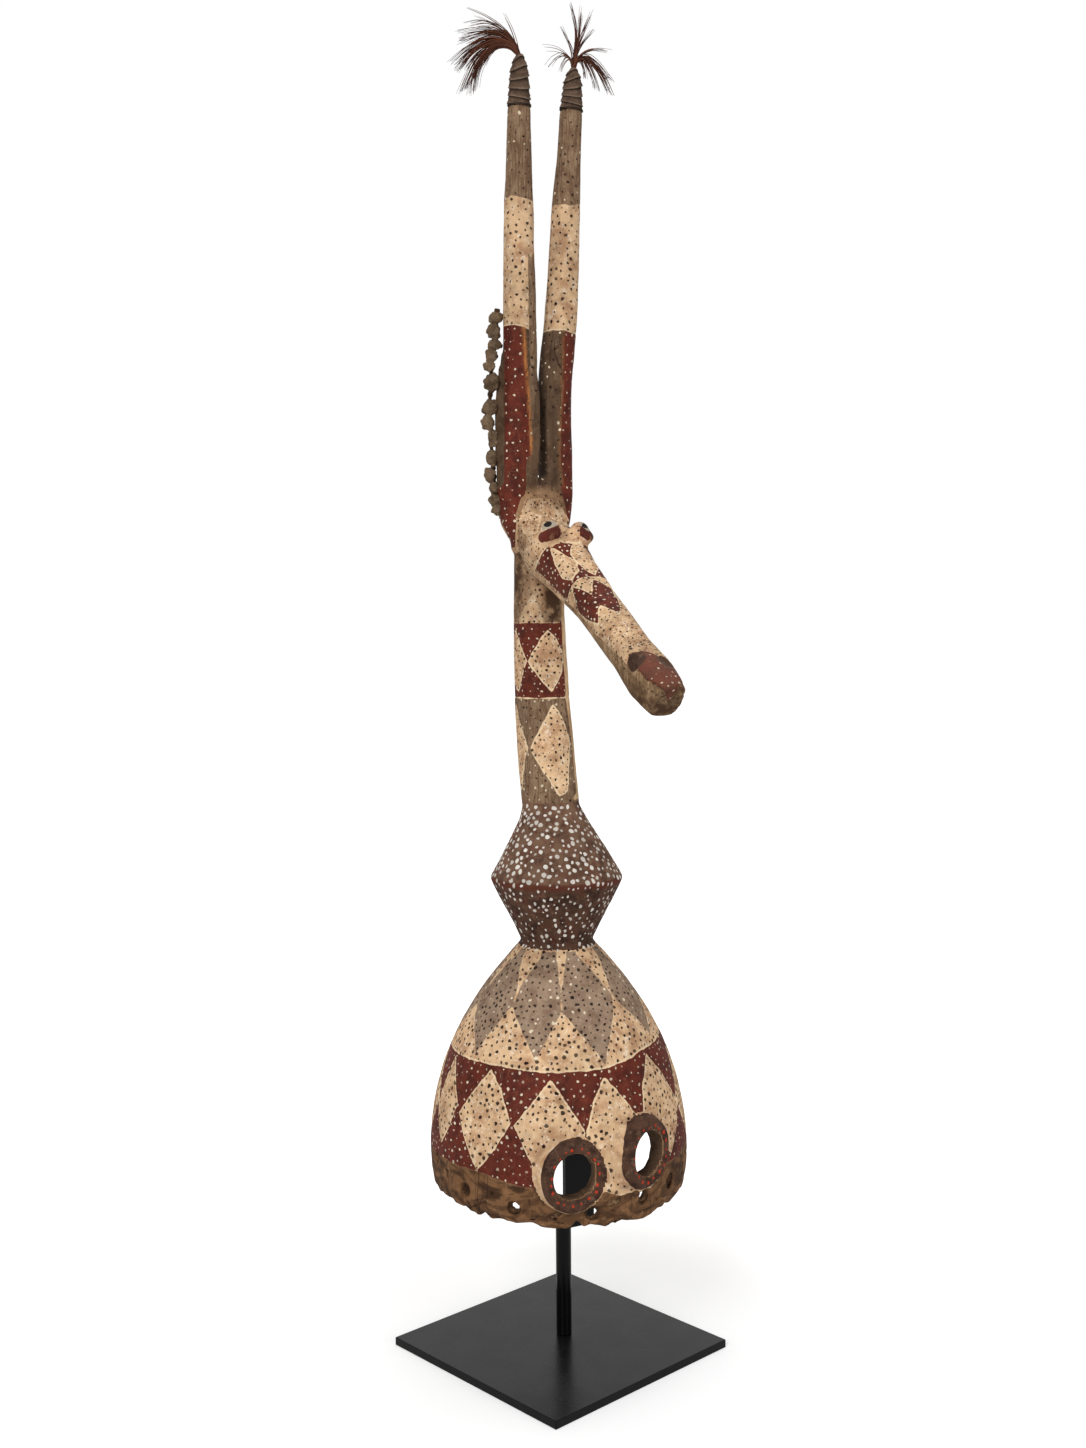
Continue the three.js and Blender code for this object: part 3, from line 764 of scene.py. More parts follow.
def paintHead(at):
    along, turn, _ = headPlace(at)
    side = abs(turn)
    creamDiamonds = np.max([onHead(turn, along, d) for d in headPaint["creamDiamonds"]], axis=0) + 1.8
    redDiamonds = np.max([onHead(turn, along, d) for d in headPaint["redDiamonds"]], axis=0)
    band = np.minimum.reduce([along - 93 + 0.10 * (side - 30), 156 - along, 112 - side, -creamDiamonds])
    plate = onHead(turn, along, headPaint["plate"])
    jawTop = np.interp(along, [150, 225, 292, 317, 332], [114, 104, 76, 58, 40])
    jaw = np.minimum((side - jawTop) * headArc, along - 150)
    nostril = np.max([8.5 - np.hypot((wrapped(turn - a)) * 0.44 * 8.5 / w, (along - s) * 8.5 / h)
                      for a, s, w, h in headPaint["nostrils"]], axis=0)
    behind = redBehind(at)
    sockets = [paintEye(at, which) for which in (-1, 1)]
    across, up = inPicture(at)
    panels = np.maximum(onHead(turn, along, headPaint["panel"]), facePanels(across, up))
    crown = np.maximum(inside(across, up, facePaint["crown"]), np.minimum(up - 958, 60 - side))
    crown = np.minimum.reduce([crown, -panels, 62 - along, -behind])
    uneven = 6 * rough(at * (1, 1, 0.6), 11, 64, 2)
    between = np.minimum(up - 988 + uneven, 60 - along)  # bare wood between the horns
    lip = np.maximum(0.9 - mouthLine(along, turn), 0.9 - abs(plate) + 20 * np.minimum(0, -35 - turn))
    muzzle = np.clip((along - 224) / 6, 0, 1) * np.clip((292 - along) / 6, 0, 1)
    # darker towards the sides and underside, the snout, the crown just below the bare wood between the horns, and the
    # end of the jaw
    grime = np.clip((side - 70) / 60, 0, 0.5) + np.clip((along - 270) / 100, 0, 0.5)
    grime += np.clip((at[:, 2] - 964) / 26, 0, 0.95) * (panels < 0) * np.interp(between, [-6, 4], [0.9, 0])
    grime += np.clip((along - 322) / 40, 0, 0.25) * (jaw > 0)
    lines = [abs(creamDiamonds), abs(redDiamonds), abs(band), 1 + abs(panels)]
    return {"cream": np.minimum.reduce([-jaw, 332 - along, -between]), "grey": between,
            "red": np.maximum.reduce([band, redDiamonds, plate, behind, *[s["red"] for s in sockets]]),
            "tan": np.clip(crown / 2, 0, 1) * np.clip(0.7 + 0.8 * rough(at * (1, 1, 0.5), 9, 63, 2), 0.25, 1),
            "dark": np.where(along > 270, nostril, -40), "faded": np.clip(plate / 2, 0, 1),
            "white": np.maximum(*[s["white"] for s in sockets]), "pupil": np.maximum(*[s["pupil"] for s in sockets]),
            "line": np.where(along > 262, lip, -9), "edge": np.minimum.reduce(lines) + 40 * (along > 262),
            "tone": 0.35 + 0.3 * (jaw > 0), "scribble": np.maximum(np.clip(panels / 2, 0, 1), muzzle), "stain": grime}


facePaint = {  # [to the right in the picture, height]
    "almond": [(-18.5, 940), (-15.5, 945.5), (-7.2, 949), (-1, 951.2), (5.5, 954.5), (10.5, 952), (12.5, 947.5),
               (7.5, 941), (-1, 937), (-11, 934.3), (-17, 935.5)],
    "rightAlmond": [(18, 952), (26, 955), (33, 952.2), (40.5, 945), (38.5, 934.5), (34.5, 938), (26, 943.5),
                    (19.5, 948.5)],
    "rightWhite": [(27, 955), (31, 959), (39, 957), (43, 950), (38.5, 948), (33, 951.5)],
    "behind": [(932, -44.5), (938, -44), (970, -42.5), (986, -38), (1000, -32)],
    "white": [(-12.5, 956.8), (-7, 959.3), (0.5, 958), (4, 953.8), (-1, 951.3), (-7.2, 949.2), (-14, 946.2),
              (-13.5, 953)],
    "panels": [
        [(-40, 969), (-24, 970), (-15, 966), (-17, 957), (-19, 946), (-33.5, 946)],
        [(-13, 983), (-5, 981.5), (6, 970), (11, 962.5), (6, 961), (-8, 967.5), (-16, 974)],
        [(8, 975), (16, 968), (21, 956), (15, 954), (10, 963)],
    ],
    "crown": [(-43, 966), (-41, 979), (-24, 985), (-14, 992), (4, 1004), (16, 975), (24, 958), (28, 946), (16, 952),
              (4, 957), (-2, 962), (-14, 962), (-14, 944), (-30, 930), (-42, 925)],
}


def inPicture(at, side=-1):  # the right half is painted as the mirror of the left
    shown = at * (-side, 1, 1)
    return shown @ pictureRight, shown[:, 2]


def facePanels(across, up):
    return np.max([inside(across, up, d) for d in facePaint["panels"]], axis=0)


def paintEye(at, side):
    across, up = inPicture(at, side)
    shown = np.minimum((22 - at[:, 1]) * 0.5, 20.0)
    pupil = 1 - np.hypot((across + 7.2) / 4.6, (up - 954.6 - 0.12 * (across + 7.2)) / 3.3)
    almond, white = inside(across, up, facePaint["almond"]), inside(across, up, facePaint["white"])
    if side > 0:
        across, up = inPicture(at)
        almond = np.maximum(almond, inside(across, up, facePaint["rightAlmond"]))
        white = np.maximum(white, inside(across, up, facePaint["rightWhite"]))
        pupil = np.maximum(pupil, 1 - np.hypot((across - 35) / 4.4, (up - 953.8) / 3.1))
    own = np.where((side * at[:, 0] > 12.5) & (at[:, 1] < 12), 0, -40)
    return {"cream": 20.0, "red": np.minimum(almond, shown) + own, "pupil": pupil * 3.6 + own, "white": white + own}


def redBehind(at):  # the horns' red runs down behind the head on both sides
    across, up = inPicture(np.column_stack([-abs(at[:, 0]), at[:, 1:]]))
    return np.minimum(np.interp(up, *zip(*facePaint["behind"])) - across, up - 932)


hornPaint = {
    "left": {"redTop": [(-111, 1179), (-43, 1178), (3, 1174)],
             "taupeFrom": [(-90, 1315), (-63, 1319), (-22, 1316), (29, 1315)],
             "back": [(1012, -63), (1064, -78), (1120, -99), (1149, -103), (1179, -111)], "keel": 1.0},
    "right": {"redTop": [(-12, 1176), (28, 1173), (100, 1176)], "taupeFrom": [(-81, 1316), (-12, 1314.6), (44, 1318)],
              "back": [(1012, 70), (1064, 84), (1120, 100), (1179, 110)], "keel": 0.25},
}
hornArc = 0.31  # millimetres of surface to a degree


def paintHorn(at, name):
    horn, paint = horns[name], hornPaint[name]
    x, y = hornCentre(horn, at[:, 2])
    z = at[:, 2]
    turn = azimuth(at[:, 0] - x, at[:, 1] - y)
    outer = horn["side"] * turn  # 90 faces away from the other horn
    border = horn["side"] * np.interp(z, *zip(*horn["keel"]))
    back = horn["side"] * np.interp(z, *zip(*paint["back"]))
    redTop, taupeFrom = around(turn, paint["redTop"]), around(turn, paint["taupeFrom"])
    front = (outer - border) * hornArc
    red = np.minimum.reduce([redTop - z, front, (back - outer) * hornArc])
    red = np.maximum(np.minimum(red, z - 984 - 0.35 * np.clip(front, 0, 12)), np.minimum(redBehind(at), 1000 - z))
    cream = np.minimum(z - redTop, 60.0)
    strip = -20
    if name == "left":
        strip = np.where(abs(turn - 79) < 80, np.minimum((turn - 8) * hornArc, (1252 - z) / 6), -20)
        cream = np.minimum(cream, -strip)
    low = np.where((at[:, 1] < 50) & (z < 992), facePanels(*inPicture(at)), -40)
    return {"cream": np.maximum(cream, low), "red": np.minimum(red, -low), "grey": np.minimum(-low, redTop - z),
            "taupe": np.maximum(np.minimum(z - taupeFrom, 60), strip),
            "edge": np.minimum(abs(redTop - z), 1 + abs(low)), "tone": 0.4,
            "stain": 0.3 * ((cream > 0) & (z < taupeFrom)),
            "keel": np.exp(-((front + 1.2) / 1.6) ** 2) * (z < 1175) * (z > 1000) * paint["keel"]}


def paintCarving(at, part):
    fields = {**dict.fromkeys(("cream", "grey", "red", "taupe", "dark", "white", "pupil"), -40.0),
              **dict.fromkeys(("keel", "scribble", "stain", "faded", "tan"), 0.0),
              "edge": 40.0, "tone": 0.3, "line": -9.0}
    values = {name: np.full(len(at), start) for name, start in fields.items()}

    def put(name, paintIt):
        where = part == name
        for field, value in paintIt(at[where]).items():
            values[field][where] = value

    def paintRing(ring, at):
        radius, depth, angle = ringPlace(ring, at)
        darkened = 16 * np.clip(np.cos(np.radians(angle - ring["darkWall"])) - 0.3, 0, 1)
        worn = 10 + darkened + 1.5 * rough(at, 12, 71)
        return {"cream": radius - ring["bore"] - 1, "dark": np.minimum(worn - depth, radius - ring["bore"] + 0.6)}

    def paintBicone(at):
        z = at[:, 2]
        low, high = ridge["bottom"] - 2, ridge["top"] - 2
        return {"dark": np.minimum(z - low, high - z) + 3, "taupe": z - high - 1, "tone": 0.3}

    put("dome", paintDome)
    for number, ring in enumerate(eyeRings):
        put(f"ring{number}", lambda at: paintRing(ring, at))
        put(f"bore{number}", lambda at: {"grey": 5.0, "tone": 0.5})
    put("bicone", paintBicone)
    put("neck", paintNeck)
    put("head", paintHead)
    for name, horn in horns.items():
        put("eye" + horn["mark"], lambda at: paintEye(at, horn["side"]))
        put("horn" + horn["mark"], lambda at: paintHorn(at, name))
        put("crest" + horn["mark"], lambda at: {"grey": 5.0, "tone": 0.62})
    return values


paint = paintCarving(at, part)
hornFoot = {"from": 972, "to": 1034, "rounds": 5}  # where the horns' paint runs into the head's
footPart = (at[:, 2] > hornFoot["from"]) & (at[:, 2] < hornFoot["to"])
for _ in range(hornFoot["rounds"]):
    for name in ("cream", "grey", "red", "tan", "stain", "taupe"):
        paint[name] = np.where(footPart, neighbourMean(carving.data, paint[name]), paint[name])
print("paint laid out")


# Tool marks, cracks and worn places, moved in the mesh itself
def rimPit(at):
    turn, z = azimuth(at[:, 0], at[:, 1]), at[:, 2]
    found = 0 * z
    for a, up, radius in rimPits:
        away = np.hypot(np.radians(wrapped(turn - a)) * dome["radius"], z - rimLevel(a) - up)
        away += 1.2 * rough(at, 5, 62)
        found = np.maximum(found, np.clip((radius - away) / 2, 0, 1))
    return found


def wornSurface(at, normal, part, paint):
    bare = (part == "dome") & (paint["cream"] < 0)
    depth = 0.45 * rough(at, 34, 5) + 0.22 * rough(at, 11, 6)
    turn = azimuth(at[:, 0], at[:, 1])
    level = np.column_stack([np.radians(turn) * 148 * 0.3, at[:, 2], 0 * turn])
    depth += np.where(bare, 1.3 * rough(at, 24, 7) - 3.2 * np.maximum(rough(level, 11, 8) - 0.25, 0), 0)
    depth -= 0.55 * np.exp(-((paint["edge"] / 0.9) ** 2))
    depth -= 5 * rimPit(at) * bare
    depth += np.where(part == "bicone", 0.5 * rough(at * (1, 1, 0.25), 12, 9), 0)
    horn = (part == "hornL") | (part == "hornR")
    depth += np.where(horn, 0.5 * rough(at * (1, 1, 0.18), 9, 10), 0)
    crestPart = (part == "crestL") | (part == "crestR")
    depth += np.where(crestPart, 0.7 * rough(at * (1, 1, 0.5), 14, 12), 0)
    along, turn, _ = headPlace(at)
    mouth = mouthLine(along, turn)
    snout = (part == "head") & (along > 262)
    depth -= np.where(snout, 1.9 * np.exp(-((mouth / 1.5) ** 2)), 0)
    depth -= np.where(snout, 3.0 * np.clip((paint["dark"] + 1) / 5, 0, 1), 0)
    depth += np.where((part == "head") & (paint["red"] > 1) & (along > 285), 0.7, 0)
    depth[part == "inside"] = 0.8 * rough(at[part == "inside"], 18, 11)
    return at + normal * depth[:, None]


moveTo(carving.data, wornSurface(at, points(carving.data, "normal"), part, paint))
smoothShade(carving)


def curvature(mesh):  # above 0 on edges that stick out, below 0 in hollows
    at = points(mesh) / mm
    bend = ((at - neighbourMean(mesh, at)) * points(mesh, "normal")).sum(1)
    for _ in range(3):
        bend = neighbourMean(mesh, bend)
    return bend


# Dots are dabbed on in rows that follow the edges of each colour
dabs = {  # part, colour: spacing, smallest and largest radius, share of pale dots, how faded they are, stretch
    ("dome", "cream"): (7.0, 1.0, 2.15, 0.0, 0.15, 0.3),
    ("dome", "taupe"): (6.8, 1.0, 2.0, 0.16, 0.2, 0.3),
    ("dome", "red"): (8.4, 0.7, 1.6, 1.0, 0.6, 0.25),
    ("bicone", "dark"): (7.4, 1.3, 2.9, 1.0, 0.45, 0.3),
    ("neck", "cream"): (5.8, 0.85, 1.6, 0.0, 0.15, 0.3),
    ("neck", "grey"): (5.8, 0.8, 1.5, 0.3, 0.4, 0.3),
    ("neck", "red"): (6.8, 0.6, 1.25, 1.0, 0.4, 0.2),
    ("neck", "taupe"): (7.2, 0.8, 1.5, 0.4, 0.4, 0.2),
    ("head", "cream"): (5.0, 0.75, 1.5, 0.0, 0.15, 0.5),
    ("head", "grey"): (5.8, 0.8, 1.4, 0.1, 0.3, 0.3),
    ("head", "red"): (7.0, 0.85, 1.6, 1.0, 0.25, 0.2),
    ("hornL", "red"): (9.2, 0.75, 1.4, 1.0, 0.4, 0.25),
    ("hornR", "red"): (9.2, 0.75, 1.4, 1.0, 0.4, 0.25),
    ("hornL", "cream"): (7.6, 1.0, 1.9, 0.0, 0.15, 0.25),
    ("hornR", "cream"): (7.6, 1.0, 1.9, 0.0, 0.15, 0.25),
    ("hornL", "taupe"): (8.4, 0.9, 1.6, 0.3, 0.4, 0.3),
    ("hornR", "taupe"): (8.4, 0.9, 1.6, 0.25, 0.4, 0.3),
    ("hornR", "grey"): (8.6, 0.9, 1.6, 0.3, 0.3, 0.3),
}
ringDots = 19


def dabDots(at, part, paint):
    layers = ("cream", "grey", "taupe", "red", "dark", "white")
    stack = np.array([paint[name] for name in layers])
    top = np.full(len(at), "bare", "U8")
    for name, values in zip(layers, stack):
        top[values > 0] = name
    margin = np.min(np.abs(stack), axis=0)
    draw = random.Random(11)
    dots = []
    for (place, colour), (spacing, small, large, pale, fade, stretch) in dabs.items():
        own = np.where((part == place) & (top == colour) & (margin > large * 0.5 + 0.9))[0]
        order = sorted(own, key=lambda k: (round(min(margin[k], 14) / (spacing * 1.1)), draw.random()))
        cells = {}
        for k in order:
            if colour == "red" and place == "head" and at[k][1] > -42 and at[k][2] > 928 and paint["pupil"][k] > -20:
                continue
            p = at[k] + [draw.uniform(-0.6, 0.6) for _ in range(3)]
            key = tuple((p // spacing).astype(int))
            near = [q for dx in (-1, 0, 1) for dy in (-1, 0, 1) for dz in (-1, 0, 1)
                    for q in cells.get((key[0] + dx, key[1] + dy, key[2] + dz), ())]
            room = spacing * draw.uniform(0.72, 1.3)
            if any(sum((a - b) ** 2 for a, b in zip(p, q)) < room**2 for q in near):
                continue
            cells.setdefault(key, []).append(tuple(p))
            lower = place == "bicone" and p[2] < ridge["z"]
            if draw.random() < (0.8 if lower and p[2] < ridge["z"] - 3 else 0.94):
                way = np.array([draw.gauss(0, 1) for _ in range(3)])
                long = stretch * draw.random()
                if lower:
                    way, long = np.array([0.35 * p[0], 0.35 * p[1], ridge["radius"]]), draw.uniform(0.1, 0.4)
                way = way / np.linalg.norm(way) * math.sqrt(long)
                size = small + (large - small) * draw.random() ** 1.4
                if lower:
                    size *= 0.72
                kind = float(draw.random() < pale) * (3 if place == "bicone" else 1)
                dots.append((*p, size, kind, *way, 1 - fade * draw.random()))
    for ring in eyeRings:
        side, _ = facing(ring["turn"])
        for k in range(ringDots):
            a = 2 * math.pi * (k + draw.uniform(-0.25, 0.25)) / ringDots
            radius = (ring["outer"] + ring["bore"]) / 2 - 1 + draw.uniform(-1.8, 1.8)
            way = (1 - 0.6 * ring["narrow"]) * math.cos(a) * side + np.array([0, 0, math.sin(a)])
            spot = np.array(ring["place"]) + radius * way
            dots.append((*spot, draw.uniform(1.1, 1.8), 2.0, 0, 0, 0.3, draw.uniform(0.7, 1)))
    return np.array(dots)


def storeDots(mesh, dots):
    tree = kdtree.KDTree(len(dots))
    for k, dot in enumerate(dots):
        tree.insert(dot[:3], k)
    tree.balance()
    middle = np.zeros(len(mesh.polygons) * 3)
    mesh.polygons.foreach_get("center", middle)
    nearest = dots[[tree.find(p)[1] for p in (middle.reshape(-1, 3) / mm).tolist()]]
    store(mesh, "dotPlace", nearest[:, :3] * mm, "FACE")
    for name, column in (("dotRadius", 3), ("dotKind", 4), ("dotStretch", slice(5, 8)), ("dotStrength", 8)):
        store(mesh, name, nearest[:, column], "FACE")


dots = dabDots(at, part, paint)
storeDots(carving.data, dots)
for name in paint:
    store(carving.data, name + "Field", paint[name])
ridgeSeams = (-100, -62, -34, -12, 14, 40, 75, 120, 165, -140)
washedFrom, tanTop, tanFade = 600, 1004, 14
turn, z = azimuth(at[:, 0], at[:, 1]), at[:, 2]
seams = np.min([abs(wrapped(turn - a)) for a in ridgeSeams], axis=0)
seams = 1.4 - seams * np.radians(np.hypot(at[:, 0], at[:, 1])) + 0.8 * rough(at, 20, 61)
ridgeLine = np.maximum(1.5 - abs(z - ridge["z"] + 1) / 3.2, seams * 0.5 * (z > ridge["z"]))
bareDome = (part == "dome") & (paint["cream"] < 0)
marks = {
    "bend": curvature(carving.data), "ridgeLine": np.clip(ridgeLine, 0, 0.85), "rimPart": bareDome,
    "pit": rimPit(at) * bareDome, "insidePart": part == "inside", "washedPart": z > washedFrom,
    "biconePart": part == "bicone", "upperPart": (part == "bicone") & (z > ridge["z"] + 2),
    "tanPart": np.clip((tanTop - z) / tanFade, 0, 1) * (part != "bore0") * (part != "bore1"),
}
for name, values in marks.items():
    store(carving.data, name, values)
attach(carving, "root")
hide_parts("mask_carving")
print("dots dabbed:", len(dots))


# Cloth bound round the horn tips
wrapLook = {"turns": 5.6, "step": 1.5, "slant": 3.4, "sides": 110, "rows": 170, "innerRows": 24}


def wrapFrame(horn):
    path = hornPath(horn)
    t = np.interp(horn["wrapBottom"], path.line[:, 2], path.t)
    centre, heading = path.at(np.array([t]))[0], path.heading(np.array([t]))[0]
    turn = Vector((0, 0, 1)).rotation_difference(Vector(heading)).to_matrix()
    return centre, np.array(turn)


def boundCloth(name):
    horn = horns[name]
    scale = wrapScale(horn)
    top = wrapProfile[-1][1] * scale
    heights = np.array([h * scale for _, h in wrapProfile])
    radii = np.array([r * horn["girth"] for r, _ in wrapProfile])
    angle = np.linspace(0, 2 * math.pi, wrapLook["sides"], endpoint=False)
    rows = []

    def windings(s):  # how many turns of cloth lie below each place, with s from bottom to top
        return (s * top + wrapLook["slant"] * np.sin(angle + 2.2 + 4 * s)) / top * wrapLook["turns"]

    for s in np.linspace(1, 0, wrapLook["innerRows"]):
        r = max(np.interp(s * top, heights, radii) - wrapThickness, 1.2)
        rows.append(np.column_stack([r * np.cos(angle), r * np.sin(angle), s * top + 0 * angle]))
    for s in np.linspace(0, 1, wrapLook["rows"]):
        h = s * top + 0 * angle
        overlap = 1 - windings(s) % 1
        lap = 0.5 + 0.5 * np.clip(overlap * 5, 0, 1)
        folds = rough(np.column_stack([12 * np.cos(angle), 12 * np.sin(angle), h * 2.6]), 5, 21 + horn["side"], 2)
        r = np.interp(h, heights, radii) - 0.55 + wrapLook["step"] * (overlap - 0.35) * lap + 0.6 * folds
        r += 0.9 * np.exp(-(((h - 1.6) / 1.5) ** 2)) * np.clip(h / 0.5, 0, 1)
        rows.append(np.column_stack([r * np.cos(angle), r * np.sin(angle), h]))
    verts, faces = skin(np.array(rows), loop=True)
    centre, turn = wrapFrame(horn)
    piece = meshPiece("bound_cloth_" + name, (verts @ turn.T + centre, faces))
    smoothShade(piece)
    h = np.concatenate([row[:, 2] for row in rows])
    store(piece.data, "strip", np.concatenate([windings(row[0, 2] / top) for row in rows]))
    store(piece.data, "height", h)
    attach(piece, "root")
    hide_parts("horn_wrap_" + name)
    return piece


cloths = [boundCloth(name) for name in horns]
print("cloth bound")


# Hair: tapered strands that leave the cloth together and fan out, as [right, up] in the picture's plane
hairRoots = {}
for name, horn in horns.items():
    bottom, turn = wrapFrame(horn)
    hairRoots[name] = turn @ np.array([0, 0, horn["wrapTop"] - horn["wrapBottom"]]) + bottom
plumes = {
    "left": [  # guide from the root on, strands, spread at the tip
        ([(-6, 14), (-19, 29), (-38, 42), (-58, 51)], 6, 2.2),
        ([(-7, 15), (-24, 32), (-45, 40), (-64, 37)], 10, 3.4),
        ([(-9, 15), (-28, 29), (-52, 30), (-72, 27)], 11, 3.4),
        ([(-9, 14), (-30, 25), (-56, 20), (-70, 15)], 15, 3.8),
        ([(-10, 13), (-34, 19), (-60, 8), (-80, -9)], 26, 3.8),
        ([(-11, 11), (-34, 14), (-55, 2), (-71, -17)], 30, 3.4),
        ([(-12, 10), (-32, 11), (-50, -5), (-62, -28), (-68, -42)], 31, 2.7),
        ([(-12, 9), (-29, 10), (-44, -4), (-54, -25), (-57, -43)], 27, 2.7),
        ([(-12, 8), (-27, 9), (-40, -2), (-47, -14)], 12, 2.5),
        ([(-4, 16), (-10, 32), (-17, 45)], 3, 1.7),
    ],
    "right": [
        ([(1, 16), (3, 34), (2, 54), (-3, 74)], 11, 2.5),
        ([(2, 16), (5, 34), (7, 52), (9, 70)], 11, 3.4),
        ([(3, 15), (8, 32), (15, 48), (22, 63)], 10, 3.4),
        ([(3, 14), (9, 27), (17, 38), (26, 48)], 7, 3.4),
        ([(0, 15), (-3, 27), (-8, 38), (-13, 48)], 7, 3.4),
        ([(1, 10), (2, 22), (4, 33)], 41, 2.5),
        ([(4, 10), (13, 18), (24, 22), (40, 21)], 8, 3.4),
        ([(5, 11), (16, 14), (28, 6), (40, -8), (46, -14)], 15, 4.2),
        ([(5, 11), (16, 13), (28, 2), (38, -14), (45, -30)], 18, 3.4),
        ([(5, 10), (13, 11), (20, 0), (26, -14), (29, -25)], 16, 3.4),
        ([(4, 9), (9, 8), (13, -2), (14, -12)], 10, 2.5),
        ([(-4, 12), (-12, 20), (-22, 25), (-36, 27)], 3, 1.7),
        ([(-4, 11), (-12, 16), (-22, 12), (-30, 3)], 5, 2.5),
        ([(-3, 9), (-8, 12), (-13, 6), (-16, -3)], 5, 2.5),
    ],
}
hairLook = {"rootRadius": 0.56, "tipRadius": 0.15, "sides": 5, "steps": 16, "bundle": 2.6}


def strand(course, radius):
    path = Path(course, 12)
    t = np.linspace(0, 1, hairLook["steps"] + 1)
    heading = path.heading(t)
    side = np.cross(heading, pictureAway)
    side /= np.maximum(np.linalg.norm(side, axis=1), 1e-6)[:, None]
    other = np.cross(heading, side)
    girth = hairLook["tipRadius"] + (radius - hairLook["tipRadius"]) * (1 - t**1.6)
    a = np.linspace(0, 2 * math.pi, hairLook["sides"], endpoint=False)
    ring = side[:, None] * np.cos(a)[None, :, None] + other[:, None] * np.sin(a)[None, :, None]
    return skin(path.at(t)[:, None] + ring * girth[:, None, None])


def hairTuft(name, seed):
    draw = random.Random(seed)
    strands, root = [], hairRoots[name]
    for bends, count, spread in plumes[name]:
        for _ in range(count):
            reach = draw.uniform(0.74, 1.0) ** 0.8
            off = [draw.gauss(0, 0.45) for _ in range(3)]
            deep = draw.gauss(0, 0.5)
            a, r = draw.uniform(0, 2 * math.pi), hairLook["bundle"] * math.sqrt(draw.random())
            course, guide = [], [(0, 0), *bends]
            for k, (right, up) in enumerate(guide):
                share = k / (len(guide) - 1)
                fan = spread * share**1.3
                course.append(root + pictureRight * (right * reach + off[0] * fan + r * math.cos(a) * (1 - share))
                              + np.array([0, 0, 1.0]) * (up * reach + off[1] * fan)
                              + pictureAway * (deep * fan * 1.6 + r * math.sin(a) * (1 - share)))
            sag = draw.gauss(0, 0.6) * spread
            course = [p + (0, 0, sag * math.sin(math.pi * k / (len(course) - 1)) * 0.5) for k, p in enumerate(course)]
            course[0] = (root + pictureRight * r * math.cos(a) * 0.8 + pictureAway * r * math.sin(a) * 0.8
                         - np.array([0, 0, 2.0]))
            strands.append(strand(course, hairLook["rootRadius"] * draw.uniform(0.6, 1.1)))
    piece = meshPiece("hair_" + name, *strands)
    smoothShade(piece)
    tones = np.repeat([draw.random() for _ in strands], (hairLook["steps"] + 1) * hairLook["sides"])
    reach = np.tile(np.repeat(np.linspace(0, 1, hairLook["steps"] + 1), hairLook["sides"]), len(strands))
    store(piece.data, "strandTone", tones)
    store(piece.data, "strandReach", reach)
    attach(piece, "root")
    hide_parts("hair_tuft_" + name)
    return piece


tufts = [hairTuft("left", 31), hairTuft("right", 32)]
print("hair planted")


# The mane: lumpy knots tied on a cord down the back of the left horn, as [height, distance out, width, height]
maneLook = {
    "knots": [(1189, 29.4, 13.6, 11.3), (1175, 31.8, 13.1, 15.8), (1160, 30.4, 13.6, 10.2), (1148, 34.4, 11.8, 13.6),
              (1136, 37.4, 11.3, 10.2), (1118, 34.2, 14.7, 18.1), (1090, 34.6, 14.7, 15.8), (1074, 36.6, 12.4, 15.8),
              (1056, 29.5, 10.2, 18.1), (1034, 29.5, 12.4, 16.9), (1015, 30.8, 11.3, 14.7), (1000, 24.4, 12.4, 12.4),
              (986, 23.6, 15, 12.6), (976, 22.2, 12.6, 13)],
    "cord": 2.7, "out": 25.4, "bow": 9.5, "twist": 36, "from": 966, "to": 1200, "voxel": 0.75,
    "tie": 2.2, "inset": 2.2, "swell": (1.32, 1.26), "lumps": 14,
}


def cordPoint(t):
    horn = horns["left"]
    z = maneLook["from"] + (maneLook["to"] - maneLook["from"]) * t
    x, y = hornCentre(horn, z)
    turn = math.radians(crest["turn"] + maneLook["twist"] * (1 - t) ** 2)
    out = maneLook["out"] + maneLook["bow"] * math.sin(math.pi * t**1.3)
    return np.array([x - math.sin(turn) * out, y - math.cos(turn) * out, z])


